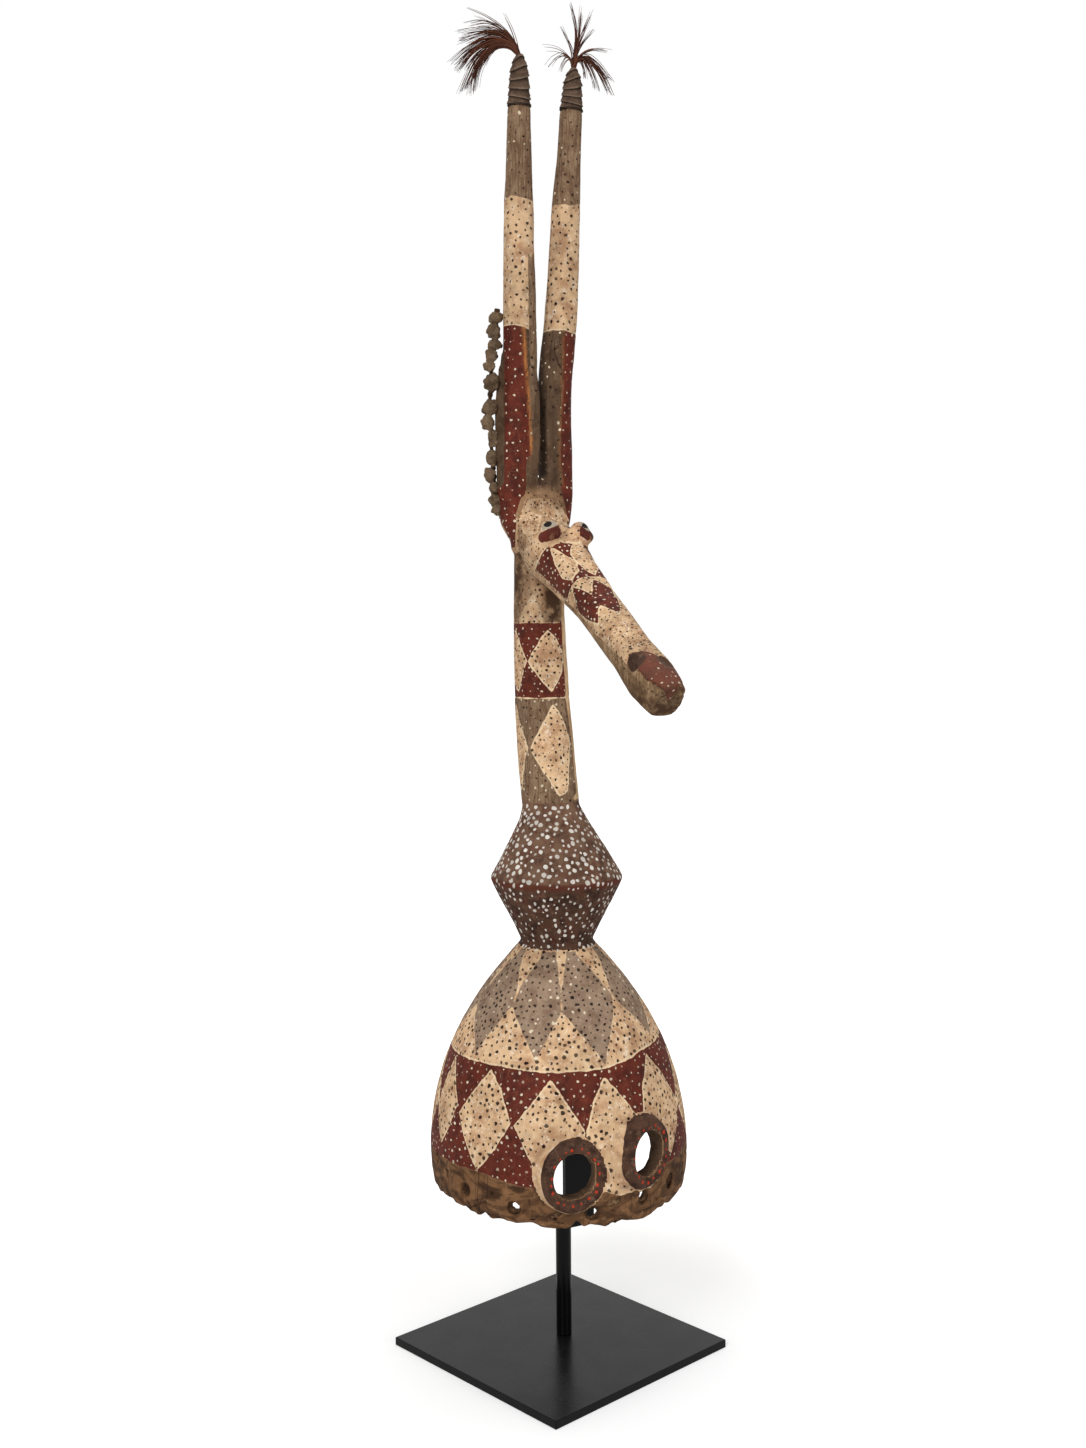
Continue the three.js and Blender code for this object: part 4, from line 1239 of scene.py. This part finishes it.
def knottedMane():
    draw = random.Random(5)
    course = Path([cordPoint(t) for t in np.linspace(0, 1, 12)])
    girth = lambda t: maneLook["cord"] * (1 + 0.25 * np.sin(t * 160))
    tieGirth = lambda t: maneLook["tie"] + 0 * t
    parts = [limb(course, girth, girth, 14, 260, 2)]
    for z, out, wide, tall in maneLook["knots"]:
        x, y = hornCentre(horns["left"], z)
        middle = np.array([x, y, z]) - pictureRight * out
        tie = cordPoint((z - maneLook["from"]) / (maneLook["to"] - maneLook["from"]))
        parts.append(limb(Path([tie, (tie + middle) / 2 + (0, 0, 1.5), middle]), tieGirth, tieGirth, 10, 12, 2))
        middle = middle + pictureRight * maneLook["inset"]
        wide, tall = wide * maneLook["swell"][0], tall * maneLook["swell"][1]
        parts.append(ball(middle, (wide * 0.44, wide * 0.44, tall * 0.44), 14, 18))
        for _ in range(maneLook["lumps"]):
            a, lift = draw.uniform(0, 2 * math.pi), draw.uniform(-1, 1)
            flat = math.sqrt(1 - lift**2)
            way = np.array([math.cos(a) * flat * wide * 0.38, math.sin(a) * flat * wide * 0.38, lift * tall * 0.4])
            size = draw.uniform(0.12, 0.19) * (wide + tall) / 2
            parts.append(ball(middle + way, (size, size * 0.9, size), 10, 12))
    piece = meshPiece("knotted_mane", *parts)
    fuse(piece, maneLook["voxel"])
    mesh = piece.data
    place = eased(mesh)
    grain = 0.38 * rough(place, 2.6, 41, 2) + 0.35 * rough(place, 7, 42)
    pits = np.maximum(rough(place, 3.4, 43) - 0.28, 0)
    moveTo(mesh, place + points(mesh, "normal") * (grain - 2.2 * pits)[:, None])
    smoothShade(piece)
    store(mesh, "bend", curvature(mesh) * 2.2)
    away = np.array([np.min(np.linalg.norm(course.line[::6] - p, axis=1)) for p in place])
    store(mesh, "cordPart", np.clip(1 - (away - 3.2) / 1.4, 0, 1))
    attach(piece, "root")
    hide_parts("mane")
    return piece


mane = knottedMane()
print("mane tied:", len(mane.data.polygons), "faces")


# The stand: a square plate, a round rod and the flat bar that climbs inside the helmet
stand = {
    "side": 274, "thickness": 9.5, "bevel": 1.1, "turn": 15.1,
    "rod": (11, 10, 9), "rodTop": 166, "bar": (5, 43, 142, 440), "barThickness": 8,
}


def bevelled(piece, width, segments=3):
    change = piece.modifiers.new("bevel", "BEVEL")
    change.width, change.segments, change.limit_method = width * mm, segments, "ANGLE"
    settle(piece)
    smoothShade(piece)
    weighted = piece.modifiers.new("normals", "WEIGHTED_NORMAL")
    weighted.keep_sharp = True
    settle(piece)
    return piece


def block(x, y, z, turn=0):
    a = math.radians(turn)
    corners = [(px * math.cos(a) - py * math.sin(a), px * math.sin(a) + py * math.cos(a))
               for px, py in ((x[0], y[0]), (x[1], y[0]), (x[1], y[1]), (x[0], y[1]))]
    return skin(np.array([[(px, py, height) for px, py in corners] for height in z]))


def standPieces():
    half = stand["side"] / 2
    plate = block((-half, half), (-half, half), (0, stand["thickness"]), stand["turn"])
    plate = bevelled(meshPiece("steel_plate", plate), stand["bevel"])
    x, y, radius = stand["rod"]
    bottom = stand["thickness"] + gap
    outline = [(radius - 0.6, bottom), (radius, bottom + 0.6), (radius, stand["rodTop"] - 0.8),
               (radius - 0.8, stand["rodTop"])]
    rod = bevelled(meshPiece("steel_rod", lathe(outline, 72, (x, y, 0))), 0.15, 2)
    left, right, low, high = stand["bar"]
    back = y - radius - gap
    bar = block((left, right), (back - stand["barThickness"], back), (low, high))
    bar = bevelled(meshPiece("steel_bar", bar), 0.8)
    for piece, node, slot in ((plate, "base_plate", "black_plate"), (rod, "stand_rod", "black_rod"),
                              (bar, "mount_bar", "black_rod")):
        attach(piece, "root")
        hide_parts(node)
    return plate, rod, bar


plate, rod, bar = standPieces()
print("stand set up")


# Finishes
def tone(red, green, blue):  # a colour as a painter would read it from a card, 0 to 255
    def straight(v):
        v /= 255
        return v / 12.92 if v <= 0.04045 else ((v + 0.055) / 1.055) ** 2.4
    return straight(red), straight(green), straight(blue), 1.0


class Wires:  # adds nodes to one tree and joins them
    def __init__(self, tree):
        self.tree = tree

    def node(self, kind, inputs=None, **settings):
        made = self.tree.nodes.new(kind)
        for name, value in settings.items():
            setattr(made, name, value)
        for name, value in (inputs or {}).items():
            self.feed(made.inputs[name], value)
        return made

    def feed(self, socket, value):
        if isinstance(value, bpy.types.NodeSocket):
            self.tree.links.new(value, socket)
        else:
            socket.default_value = value

    def math(self, operation, a, b=0.0, clamp=False):
        return self.node("ShaderNodeMath", {0: a, 1: b}, operation=operation, use_clamp=clamp).outputs[0]

    def plus(self, a, b, clamp=False):
        return self.math("ADD", a, b, clamp)

    def minus(self, a, b):
        return self.math("SUBTRACT", a, b)

    def times(self, a, b):
        return self.math("MULTIPLY", a, b)

    def larger(self, a, b):
        return self.math("MAXIMUM", a, b)

    def vector(self, operation, a, b=None, output=0):
        given = {0: a} if b is None else {0: a, "Scale" if operation == "SCALE" else 1: b}
        return self.node("ShaderNodeVectorMath", given, operation=operation).outputs[output]

    def mix(self, share, a, b, blend="MIX"):
        made = self.node("ShaderNodeMix", {0: share, 6: a, 7: b}, data_type="RGBA", blend_type=blend)
        return made.outputs[2]

    def grade(self, value, low, high, start=0.0, end=1.0):
        given = {"Value": value, "From Min": low, "From Max": high, "To Min": start, "To Max": end}
        return self.node("ShaderNodeMapRange", given, interpolation_type="SMOOTHSTEP").outputs[0]

    def noise(self, where, size, detail=3.0, rough=0.5, stretch=0.0):  # size is the grain's width in millimetres
        given = {"Vector": where, "Scale": 1000 / size, "Detail": detail, "Roughness": rough, "Distortion": stretch}
        return self.node("ShaderNodeTexNoise", given).outputs["Fac"]

    def drift(self, where, scale):
        return self.node("ShaderNodeTexNoise", {"Vector": where, "Scale": scale, "Detail": 2.0}).outputs["Color"]

    def bump(self, height, strength, distance):
        given = {"Height": height, "Strength": strength, "Distance": distance}
        return self.node("ShaderNodeBump", given).outputs[0]

    def fromMiddle(self, value):
        return self.math("ABSOLUTE", self.minus(value, 0.5))

    def field(self, name, output="Fac"):
        return self.node("ShaderNodeAttribute", attribute_name=name, attribute_type="GEOMETRY").outputs[output]

    def place(self):
        return self.node("ShaderNodeTexCoord").outputs["Object"]

    def stretched(self, where, x, y, z):
        return self.node("ShaderNodeMapping", {"Vector": where, "Scale": (x, y, z)}).outputs[0]


def group(name, inputs, outputs):
    tree = bpy.data.node_groups.new(name, "ShaderNodeTree")
    for label, kind, value in inputs:
        socket = tree.interface.new_socket(label, in_out="INPUT", socket_type="NodeSocket" + kind)
        if value is not None:
            socket.default_value = value
    for label, kind in outputs:
        tree.interface.new_socket(label, in_out="OUTPUT", socket_type="NodeSocket" + kind)
    wires = Wires(tree)
    return wires, wires.node("NodeGroupInput").outputs, wires.node("NodeGroupOutput").inputs


def mottleGroup():  # broad patches and fine speckle over a colour
    white = (1, 1, 1, 1)
    inputs = [("Place", "Vector", None), ("Color", "Color", white), ("Patch", "Color", white),
              ("Speckle", "Color", white), ("Patch Share", "Float", 0.5), ("Speckle Share", "Float", 0.3)]
    w, given, wanted = group("mottle", inputs, [("Color", "Color"), ("Height", "Float")])
    broad = w.noise(given["Place"], 16, 5, 0.62)
    fine = w.noise(given["Place"], 1.6, 4, 0.7)
    middle = w.noise(given["Place"], 7, 5, 0.65)
    patch = w.times(w.grade(broad, 0.42, 0.66), given["Patch Share"])
    colour = w.mix(patch, given["Color"], given["Patch"])
    grit = w.plus(w.times(fine, 0.4), w.times(middle, 0.6))
    speckle = w.times(w.grade(grit, 0.52, 0.64), given["Speckle Share"])
    w.feed(wanted["Color"], w.mix(speckle, colour, given["Speckle"]))
    w.feed(wanted["Height"], w.plus(w.times(fine, 0.5), w.times(middle, 0.5)))
    return w.tree


def dustAndShadeGroup():  # painted shade and grime in hollows, from the bend of the surface, and grime in broad clouds
    inputs = [("Place", "Vector", None), ("Color", "Color", (1, 1, 1, 1)), ("Bend", "Float", 0.0),
              ("Grime", "Color", (0.05, 0.03, 0.02, 1)), ("Amount", "Float", 0.5)]
    w, given, wanted = group("dust", inputs, [("Color", "Color")])
    cloud = w.noise(given["Place"], 22, 5, 0.6)
    # painted shade with grime in hollows, darker the more the surface bends inward
    hollow = w.grade(given["Bend"], -0.03, -0.3)
    stain = w.plus(hollow, w.grade(cloud, 0.52, 0.78, 0, 0.55), clamp=True)
    w.feed(wanted["Color"], w.mix(w.times(stain, given["Amount"]), given["Color"], given["Grime"]))
    return w.tree


def grainGroup():  # wood fibre that runs up the carving, with splits
    inputs = [("Place", "Vector", None), ("Dark", "Color", (0.05, 0.03, 0.02, 1)),
              ("Light", "Color", (0.3, 0.2, 0.1, 1))]
    w, given, wanted = group("grain", inputs, [("Color", "Color"), ("Height", "Float"), ("Split", "Float")])
    sway = w.vector("MULTIPLY", w.drift(given["Place"], 26.0), (0.006, 0.006, 0.006))
    bent = w.vector("ADD", given["Place"], sway)
    fibre = w.noise(w.stretched(bent, 1, 1, 0.07), 1.3, 5, 0.65)
    broad = w.noise(w.stretched(bent, 1, 1, 0.12), 7, 4, 0.6)
    body = w.plus(w.times(fibre, 0.55), w.times(broad, 0.45))
    w.feed(wanted["Color"], w.mix(w.grade(body, 0.38, 0.62), given["Dark"], given["Light"]))
    cells = {"Vector": w.stretched(bent, 1, 1, 0.11), "Scale": 75.0, "Randomness": 1.0}
    cell = w.node("ShaderNodeTexVoronoi", cells, feature="DISTANCE_TO_EDGE").outputs["Distance"]
    where = w.grade(w.noise(w.stretched(given["Place"], 1, 1, 0.3), 30, 3, 0.5), 0.52, 0.62)
    w.feed(wanted["Split"], w.times(w.grade(cell, 0.022, 0.004), where))
    w.feed(wanted["Height"], body)
    return w.tree


mottle, dust, grain = mottleGroup(), dustAndShadeGroup(), grainGroup()


def use(w, tree, **inputs):
    made = w.node("ShaderNodeGroup", node_tree=tree)
    for name, value in inputs.items():
        label = "".join(" " + c if c.isupper() else c for c in name).strip()
        w.feed(made.inputs[label[0].upper() + label[1:]], value)
    return made.outputs


def mottled(w, where, colours, patchShare, speckleShare):
    body, patch, speckle = colours
    return use(w, mottle, place=where, color=body, patch=patch, speckle=speckle, patchShare=patchShare,
               speckleShare=speckleShare)


def finish(name, specular, roughness=0.5):  # a material, its nodes and its shader, with the constant sockets set
    material = bpy.data.materials.new(name)
    material.use_nodes = True
    shader = material.node_tree.nodes["Principled BSDF"]
    shader.inputs["Specular IOR Level"].default_value = specular
    shader.inputs["Roughness"].default_value = roughness
    return material, Wires(material.node_tree), shader


paints = {
    "cream": (tone(220, 184, 144), tone(170, 126, 92), tone(248, 232, 208)),
    "grey": (tone(94, 72, 54), tone(66, 47, 34), tone(132, 108, 86)),
    "tan": (tone(156, 122, 90), tone(112, 82, 58), tone(196, 166, 132)),
    "taupe": (tone(154, 130, 108), tone(118, 92, 74), tone(190, 168, 148)),
    "wash": (tone(132, 106, 82), tone(100, 74, 54), tone(166, 142, 116)),
    "red": (tone(97, 38, 25), tone(62, 23, 15), tone(134, 70, 46)),
    "dark": (tone(84, 58, 45), tone(48, 31, 23), tone(136, 108, 88)),
    "ruddy": tone(92, 46, 32), "faded": tone(178, 124, 102), "upperDark": tone(128, 98, 78),
    "bareDark": tone(84, 60, 40), "bareLight": tone(140, 106, 76),
    "paleDark": tone(176, 136, 96), "paleLight": tone(222, 190, 148),
    "rimDark": tone(66, 44, 28), "rimLight": tone(134, 96, 64), "rimWorn": tone(172, 138, 104),
    "rimCrack": tone(26, 16, 10),
    "outline": tone(238, 214, 176), "orange": tone(186, 116, 62),
    "darkDot": tone(28, 13, 9), "paleDot": tone(232, 216, 188), "redDot": tone(200, 58, 32),
    "whiteDot": tone(230, 224, 214), "eyeWhite": tone(172, 160, 142),
    "pupil": tone(30, 26, 25), "scribble": tone(96, 70, 50), "scratch": tone(196, 160, 128),
    # the dark brown on the next line is laid on for painted shade and grime in hollows and for the painted shadow under
    # the head
    "grime": tone(56, 36, 24), "split": tone(34, 21, 13), "hollow": tone(60, 43, 31),
}


def rimWood(w, where):  # end grain and knots worn smooth, with level cracks
    lying = w.stretched(where, 0.5, 0.5, 1)
    swirl = w.noise(lying, 22, 4, 0.5, 1.6)
    colour = w.mix(w.grade(swirl, 0.34, 0.66), paints["rimDark"], paints["rimLight"])
    lines = w.fromMiddle(w.math("FRACT", w.times(swirl, 9.0)))
    colour = w.mix(w.grade(lines, 0.16, 0.0, 0, 0.4), colour, paints["rimDark"])
    colour = w.mix(w.grade(w.noise(where, 9, 5, 0.65), 0.58, 0.72, 0, 0.5), colour, paints["rimWorn"])
    cracks = w.grade(w.noise(w.stretched(where, 0.25, 0.25, 1), 7, 3, 0.5), 0.68, 0.71)
    return w.mix(cracks, colour, paints["rimCrack"]), w.minus(w.plus(swirl, w.times(lines, 0.3)), cracks)


def paintedWood():
    material, w, shader = finish("painted wood", 0.14)
    where, over = w.place(), w.mix
    toneField, bend = w.field("toneField"), w.field("bend")
    wobble = w.plus(w.grade(w.noise(where, 11, 2, 0.5), 0, 1, -1.3, 1.3),
                    w.grade(w.noise(where, 2.6, 2, 0.5), 0, 1, -0.3, 0.3))

    def edge(name, soft=0.3):
        return w.grade(w.plus(w.field(name + "Field"), wobble), -soft, soft)

    def laid(mask, worn):  # a coat of paint, thinner where it is chipped
        return w.times(masks[mask], w.grade(chips, 0, 1, 1, worn))

    def streaked(name):
        return over(brown, layers[name]["Color"], paints[name][1])

    wood = use(w, grain, place=where, dark=w.mix(w.grade(toneField, 0.5, 0.95), paints["bareDark"], paints["paleDark"]),
               light=w.mix(w.grade(toneField, 0.3, 0.95), paints["bareLight"], paints["paleLight"]))
    shares = {"cream": (0.8, 0.75), "grey": (0.8, 0.5), "tan": (0.9, 0.7), "taupe": (0.7, 0.55), "wash": (0.8, 0.5),
              "red": (0.8, 0.4), "dark": (0.9, 0.55)}
    layers = {name: mottled(w, where, paints[name], *share) for name, share in shares.items()}
    masks = {name: edge(name) for name in ("cream", "grey", "taupe", "red", "dark", "white")}
    brown = w.grade(w.noise(w.stretched(where, 1, 1, 0.1), 2.4, 4, 0.6), 0.55, 0.7, 0, 0.4)
    chipNoise = w.noise(where, 5, 6, 0.72)
    chips = w.grade(w.plus(chipNoise, w.grade(bend, 0.12, 0.4, 0, 0.2)), 0.655, 0.69)

    rim, rimHeight = rimWood(w, where)
    colour = over(w.field("rimPart"), wood["Color"], rim)
    colour = over(w.times(masks["cream"], w.minus(1.0, chips)), colour, streaked("cream"))
    colour = over(w.times(w.field("tanField"), 0.9), colour, streaked("tan"))
    scribble = w.grade(w.fromMiddle(w.noise(where, 5, 3, 0.6, 1.2)), 0.022, 0.008)
    colour = over(w.times(w.times(scribble, w.field("scribbleField")), 0.85), colour, paints["scribble"])
    colour = over(laid("grey", 0.6), colour, over(w.field("tanPart"), streaked("grey"), streaked("tan")))
    outline = w.grade(w.plus(w.field("edgeField"), w.times(wobble, 0.15)), 2.1, 1.5)
    outline = w.times(w.times(outline, masks["cream"]), w.grade(chipNoise, 0.36, 0.5, 0.15, 0.7))
    colour = over(outline, colour, paints["outline"])
    upright = w.noise(w.stretched(where, 1, 1, 0.06), 2.2, 3, 0.6)
    washed = over(w.grade(upright, 0.5, 0.52), paints["wash"][2], paints["wash"][1])
    washed = over(w.grade(upright, 0.4, 0.6, 0, 0.7), layers["wash"]["Color"], washed)
    colour = over(laid("taupe", 0.5), colour, over(w.field("washedPart"), streaked("taupe"), washed))
    redColour = over(w.times(w.field("fadedField"), 0.16), layers["red"]["Color"], paints["faded"])
    colour = over(laid("red", 0.45), colour, redColour)
    scratch = w.grade(w.fromMiddle(w.noise(w.stretched(where, 1, 1, 0.5), 17, 3, 0.5, 1.5)), 0.003, 0.0)
    colour = over(w.times(w.times(scratch, masks["red"]), 0.35), colour, paints["scratch"])
    upper = w.times(w.field("upperPart"), w.grade(w.noise(where, 18, 4, 0.6), 0.35, 0.6, 0.1, 0.75))
    darkColour = over(upper, layers["dark"]["Color"], paints["upperDark"])
    ruddy = w.larger(w.grade(w.noise(where, 14, 4, 0.6), 0.54, 0.64, 0, 0.4), w.field("ridgeLine"))
    darkColour = over(w.times(w.field("biconePart"), ruddy), darkColour, paints["ruddy"])
    colour = over(laid("dark", 0.45), colour, darkColour)
    colour = over(masks["white"], colour, paints["eyeWhite"])
    colour = over(w.times(edge("line"), 0.75), colour, paints["split"])
    colour = over(w.times(w.field("keelField"), w.grade(chipNoise, 0.38, 0.5)), colour, paints["orange"])

    sway = w.vector("SCALE", w.vector("SUBTRACT", w.drift(where, 210.0), (0.5, 0.5, 0.5)), 0.0032)
    off = w.vector("SUBTRACT", w.vector("ADD", where, sway), w.field("dotPlace", "Vector"))
    stretch = w.field("dotStretch", "Vector")
    along = w.vector("DOT_PRODUCT", off, stretch, "Value")
    away = w.vector("LENGTH", w.vector("SUBTRACT", off, w.vector("SCALE", stretch, along)), output="Value")
    dot = w.grade(w.minus(w.times(away, 1000.0), w.field("dotRadius")), 0.22, -0.22)
    dot = w.times(w.times(dot, w.grade(w.noise(where, 0.9, 3, 0.6), 0.25, 0.42, 0.6, 1.0)), w.field("dotStrength"))
    kind, dotColour = w.field("dotKind"), paints["darkDot"]
    for step, name in enumerate(("paleDot", "redDot", "whiteDot")):
        dotColour = w.mix(w.grade(kind, step + 0.4, step + 0.6), dotColour, paints[name])
    colour = over(dot, colour, dotColour)
    colour = over(w.grade(w.field("pupilField"), -0.3, 0.3), colour, paints["pupil"])

    painted = w.larger(w.larger(masks["cream"], masks["red"]), masks["dark"])
    split = w.times(wood["Split"], w.grade(painted, 0, 1, 0.8, 0.0))
    colour = over(w.larger(split, w.times(w.field("pit"), 0.85)), colour, paints["split"])
    # painted shadow of the head on the upper neck, and darker places on the head and horns, mixed toward dark brown
    stain = w.times(w.field("stainField"), w.grade(w.noise(where, 12, 4, 0.6), 0.3, 0.6, 0.35, 1.0))
    colour = over(w.times(stain, 0.8), colour, w.mix(0.5, paints["grime"], paints["bareDark"]))
    shade = w.grade(w.noise(where, 45, 3, 0.5), 0.3, 0.7, 0.86, 1.06)
    shade = w.node("ShaderNodeCombineColor", {0: shade, 1: shade, 2: shade}).outputs[0]
    colour = w.mix(1.0, colour, shade, "MULTIPLY")
    # painted shade and grime in the hollows of the carving, and dust in broad clouds
    darkened = use(w, dust, place=where, color=colour, bend=bend, grime=paints["grime"], amount=0.6)
    hollow = w.mix(w.grade(wood["Height"], 0.35, 0.65, 0.2, 0.7), paints["hollow"], wood["Color"])
    w.feed(shader.inputs["Base Color"], w.mix(w.field("insidePart"), darkened["Color"], hollow))
    gloss = w.plus(w.times(masks["red"], 0.4), w.noise(where, 6, 3))
    w.feed(shader.inputs["Roughness"], w.grade(gloss, 0.3, 1.1, 0.85, 0.6))

    coats = w.plus(w.times(w.larger(masks["red"], masks["taupe"]), 0.25), w.times(dot, 0.4))
    bare = w.mix(w.field("rimPart"), wood["Height"], w.times(rimHeight, 1.8))
    height = w.plus(w.times(bare, w.grade(masks["cream"], 0, 1, 1.3, 0.5)), coats)
    height = w.plus(height, w.times(layers["cream"]["Height"], 0.8))
    height = w.minus(w.minus(height, w.times(split, 1.2)), w.times(chips, 0.5))
    w.feed(shader.inputs["Normal"], w.bump(height, 0.65, 0.0009))
    return material


def clothFinish():
    material, w, shader = finish("bound cloth", 0.1, 0.9)
    where = w.place()
    lap = w.math("FRACT", w.field("strip"))
    body = mottled(w, where, (tone(98, 78, 64), tone(64, 49, 39), tone(138, 116, 98)), 0.85, 0.6)
    weave = {"Vector": where, "Scale": 420.0, "Distortion": 2.5, "Detail": 2.0}
    thread = w.node("ShaderNodeTexWave", weave, bands_direction="Z").outputs["Fac"]
    # painted shade on each lap just under the edge of the next, and a painted highlight along each lap's raised edge
    colour = w.mix(w.grade(lap, 0.6, 1.0, 0, 0.9), body["Color"], tone(30, 22, 17))
    colour = w.mix(w.grade(lap, 0.0, 0.3, 0.35, 0), colour, tone(166, 144, 124))
    colour = w.mix(w.grade(thread, 0.2, 0.8, 0, 0.22), colour, tone(52, 41, 33))
    # painted shade along the bottom edge, where the cloth meets the horn
    colour = w.mix(w.grade(w.field("height"), 3.2, 1.2, 0, 0.8), colour, tone(34, 27, 22))
    w.feed(shader.inputs["Base Color"], colour)
    w.feed(shader.inputs["Normal"], w.bump(w.plus(w.times(thread, 0.5), body["Height"]), 0.6, 0.0006))
    return material


def hairFinish():
    material, w, shader = finish("red hair", 0.15, 0.55)
    colour = w.mix(w.grade(w.field("strandTone"), 0, 1), tone(40, 20, 13), tone(104, 60, 40))
    colour = w.mix(w.grade(w.noise(w.place(), 9, 3), 0.45, 0.65, 0, 0.5), colour, tone(70, 36, 24))
    colour = w.mix(w.grade(w.field("strandReach"), 0.7, 1.0, 0, 0.45), colour, tone(52, 26, 18))
    w.feed(shader.inputs["Base Color"], colour)
    return material


def fibreFinish():
    material, w, shader = finish("knotted fibre", 0.15, 0.92)
    where = w.place()
    body = mottled(w, where, (tone(108, 88, 68), tone(70, 54, 40), tone(152, 131, 106)), 0.8, 0.65)
    # painted shade and grime in the crevices between the knots, and dust in broad clouds
    darkened = use(w, dust, place=where, color=body["Color"], bend=w.field("bend"), grime=tone(40, 28, 20), amount=0.95)
    colour = w.mix(w.times(w.field("cordPart"), 0.85), darkened["Color"], tone(58, 38, 25))
    w.feed(shader.inputs["Base Color"], colour)
    w.feed(shader.inputs["Normal"], w.bump(body["Height"], 0.7, 0.0006))
    return material


def plateFinish():
    material, w, shader = finish("black powder coat", 0.29)
    where = w.place()
    body = mottled(w, where, (tone(15, 15, 15), tone(12, 12, 12), tone(22, 21, 21)), 0.5, 0.3)
    w.feed(shader.inputs["Base Color"], body["Color"])
    w.feed(shader.inputs["Roughness"], w.grade(w.noise(where, 40, 4, 0.6), 0.3, 0.7, 0.24, 0.32))
    shader.inputs["Specular Tint"].default_value = (0.35, 0.35, 0.35, 1)
    w.feed(shader.inputs["Normal"], w.bump(w.noise(where, 0.8, 2, 0.5), 0.12, 0.0002))
    return material


def rodFinish():
    material, w, shader = finish("black gloss steel", 0.16)
    where = w.place()
    body = mottled(w, where, (tone(5, 5, 5), tone(8, 8, 8), tone(12, 12, 12)), 0.5, 0.2)
    w.feed(shader.inputs["Base Color"], body["Color"])
    w.feed(shader.inputs["Roughness"], w.grade(w.noise(where, 12, 4, 0.6), 0.3, 0.7, 0.15, 0.22))
    return material


def wear(pieces, material):
    for piece in pieces:
        piece.data.materials.clear()
        piece.data.materials.append(material)


wear([carving], paintedWood())
wear(cloths, clothFinish())
wear(tufts, hairFinish())
wear([mane], fibreFinish())
wear([plate], plateFinish())
wear([rod, bar], rodFinish())
print("finishes laid on")


# Studio: a pale floor, a bright room and large soft lamps
def addFloor():
    floor = meshPiece("floor", block((-30000, 30000), (-30000, 30000), (-4, -0.05)))
    material, w, shader = finish("pale floor", 0.0, 0.9)
    pale = w.mix(w.grade(w.noise(w.place(), 900, 2), 0.3, 0.7), tone(226, 225, 224), tone(230, 230, 230))
    w.feed(shader.inputs["Base Color"], pale)
    shader.inputs["Emission Color"].default_value = (1, 1, 1, 1)
    glow = w.grade(w.vector("LENGTH", w.place(), output="Value"), 0.24, 0.62, 0.37, 0.8)
    inCamera = w.node("ShaderNodeLightPath").outputs["Is Camera Ray"]
    w.feed(shader.inputs["Emission Strength"], w.times(inCamera, glow))
    wear([floor], material)


lamps = {  # place, aim, width and height in metres, watts
    "key": ((-2.5, -1.9, 2.3), (0, 0, 0.75), 1.4, 1.6, 62),
    "fill": ((0.9, -3.0, 1.2), (0, 0, 0.7), 1.4, 1.6, 20),
    "top": ((0.2, 0.4, 3.4), (0, 0, 0), 2.4, 2.4, 24),
}


def addLight():
    for name, (place, aim, wide, tall, power) in lamps.items():
        lamp = bpy.data.lights.new(name, "AREA")
        lamp.shape, lamp.size, lamp.size_y, lamp.energy = "RECTANGLE", wide, tall, power
        holder = bpy.data.objects.new(name, lamp)
        holder.location = place
        holder.rotation_euler = (Vector(aim) - Vector(place)).to_track_quat("-Z", "Y").to_euler()
        scene.collection.objects.link(holder)
    world = bpy.data.worlds.new("room")
    world.use_nodes = True
    w, shade = Wires(world.node_tree), world.node_tree.nodes["Background"]
    rays = w.node("ShaderNodeLightPath").outputs
    lit = w.plus(0.46, w.times(rays["Is Glossy Ray"], 0.4))
    w.feed(shade.inputs["Strength"], w.larger(lit, rays["Is Camera Ray"]))
    shade.inputs["Color"].default_value = (1, 1, 1, 1)
    scene.world = world
    scene.view_settings.view_transform = "Standard"


addFloor()
addLight()
print("studio lit")
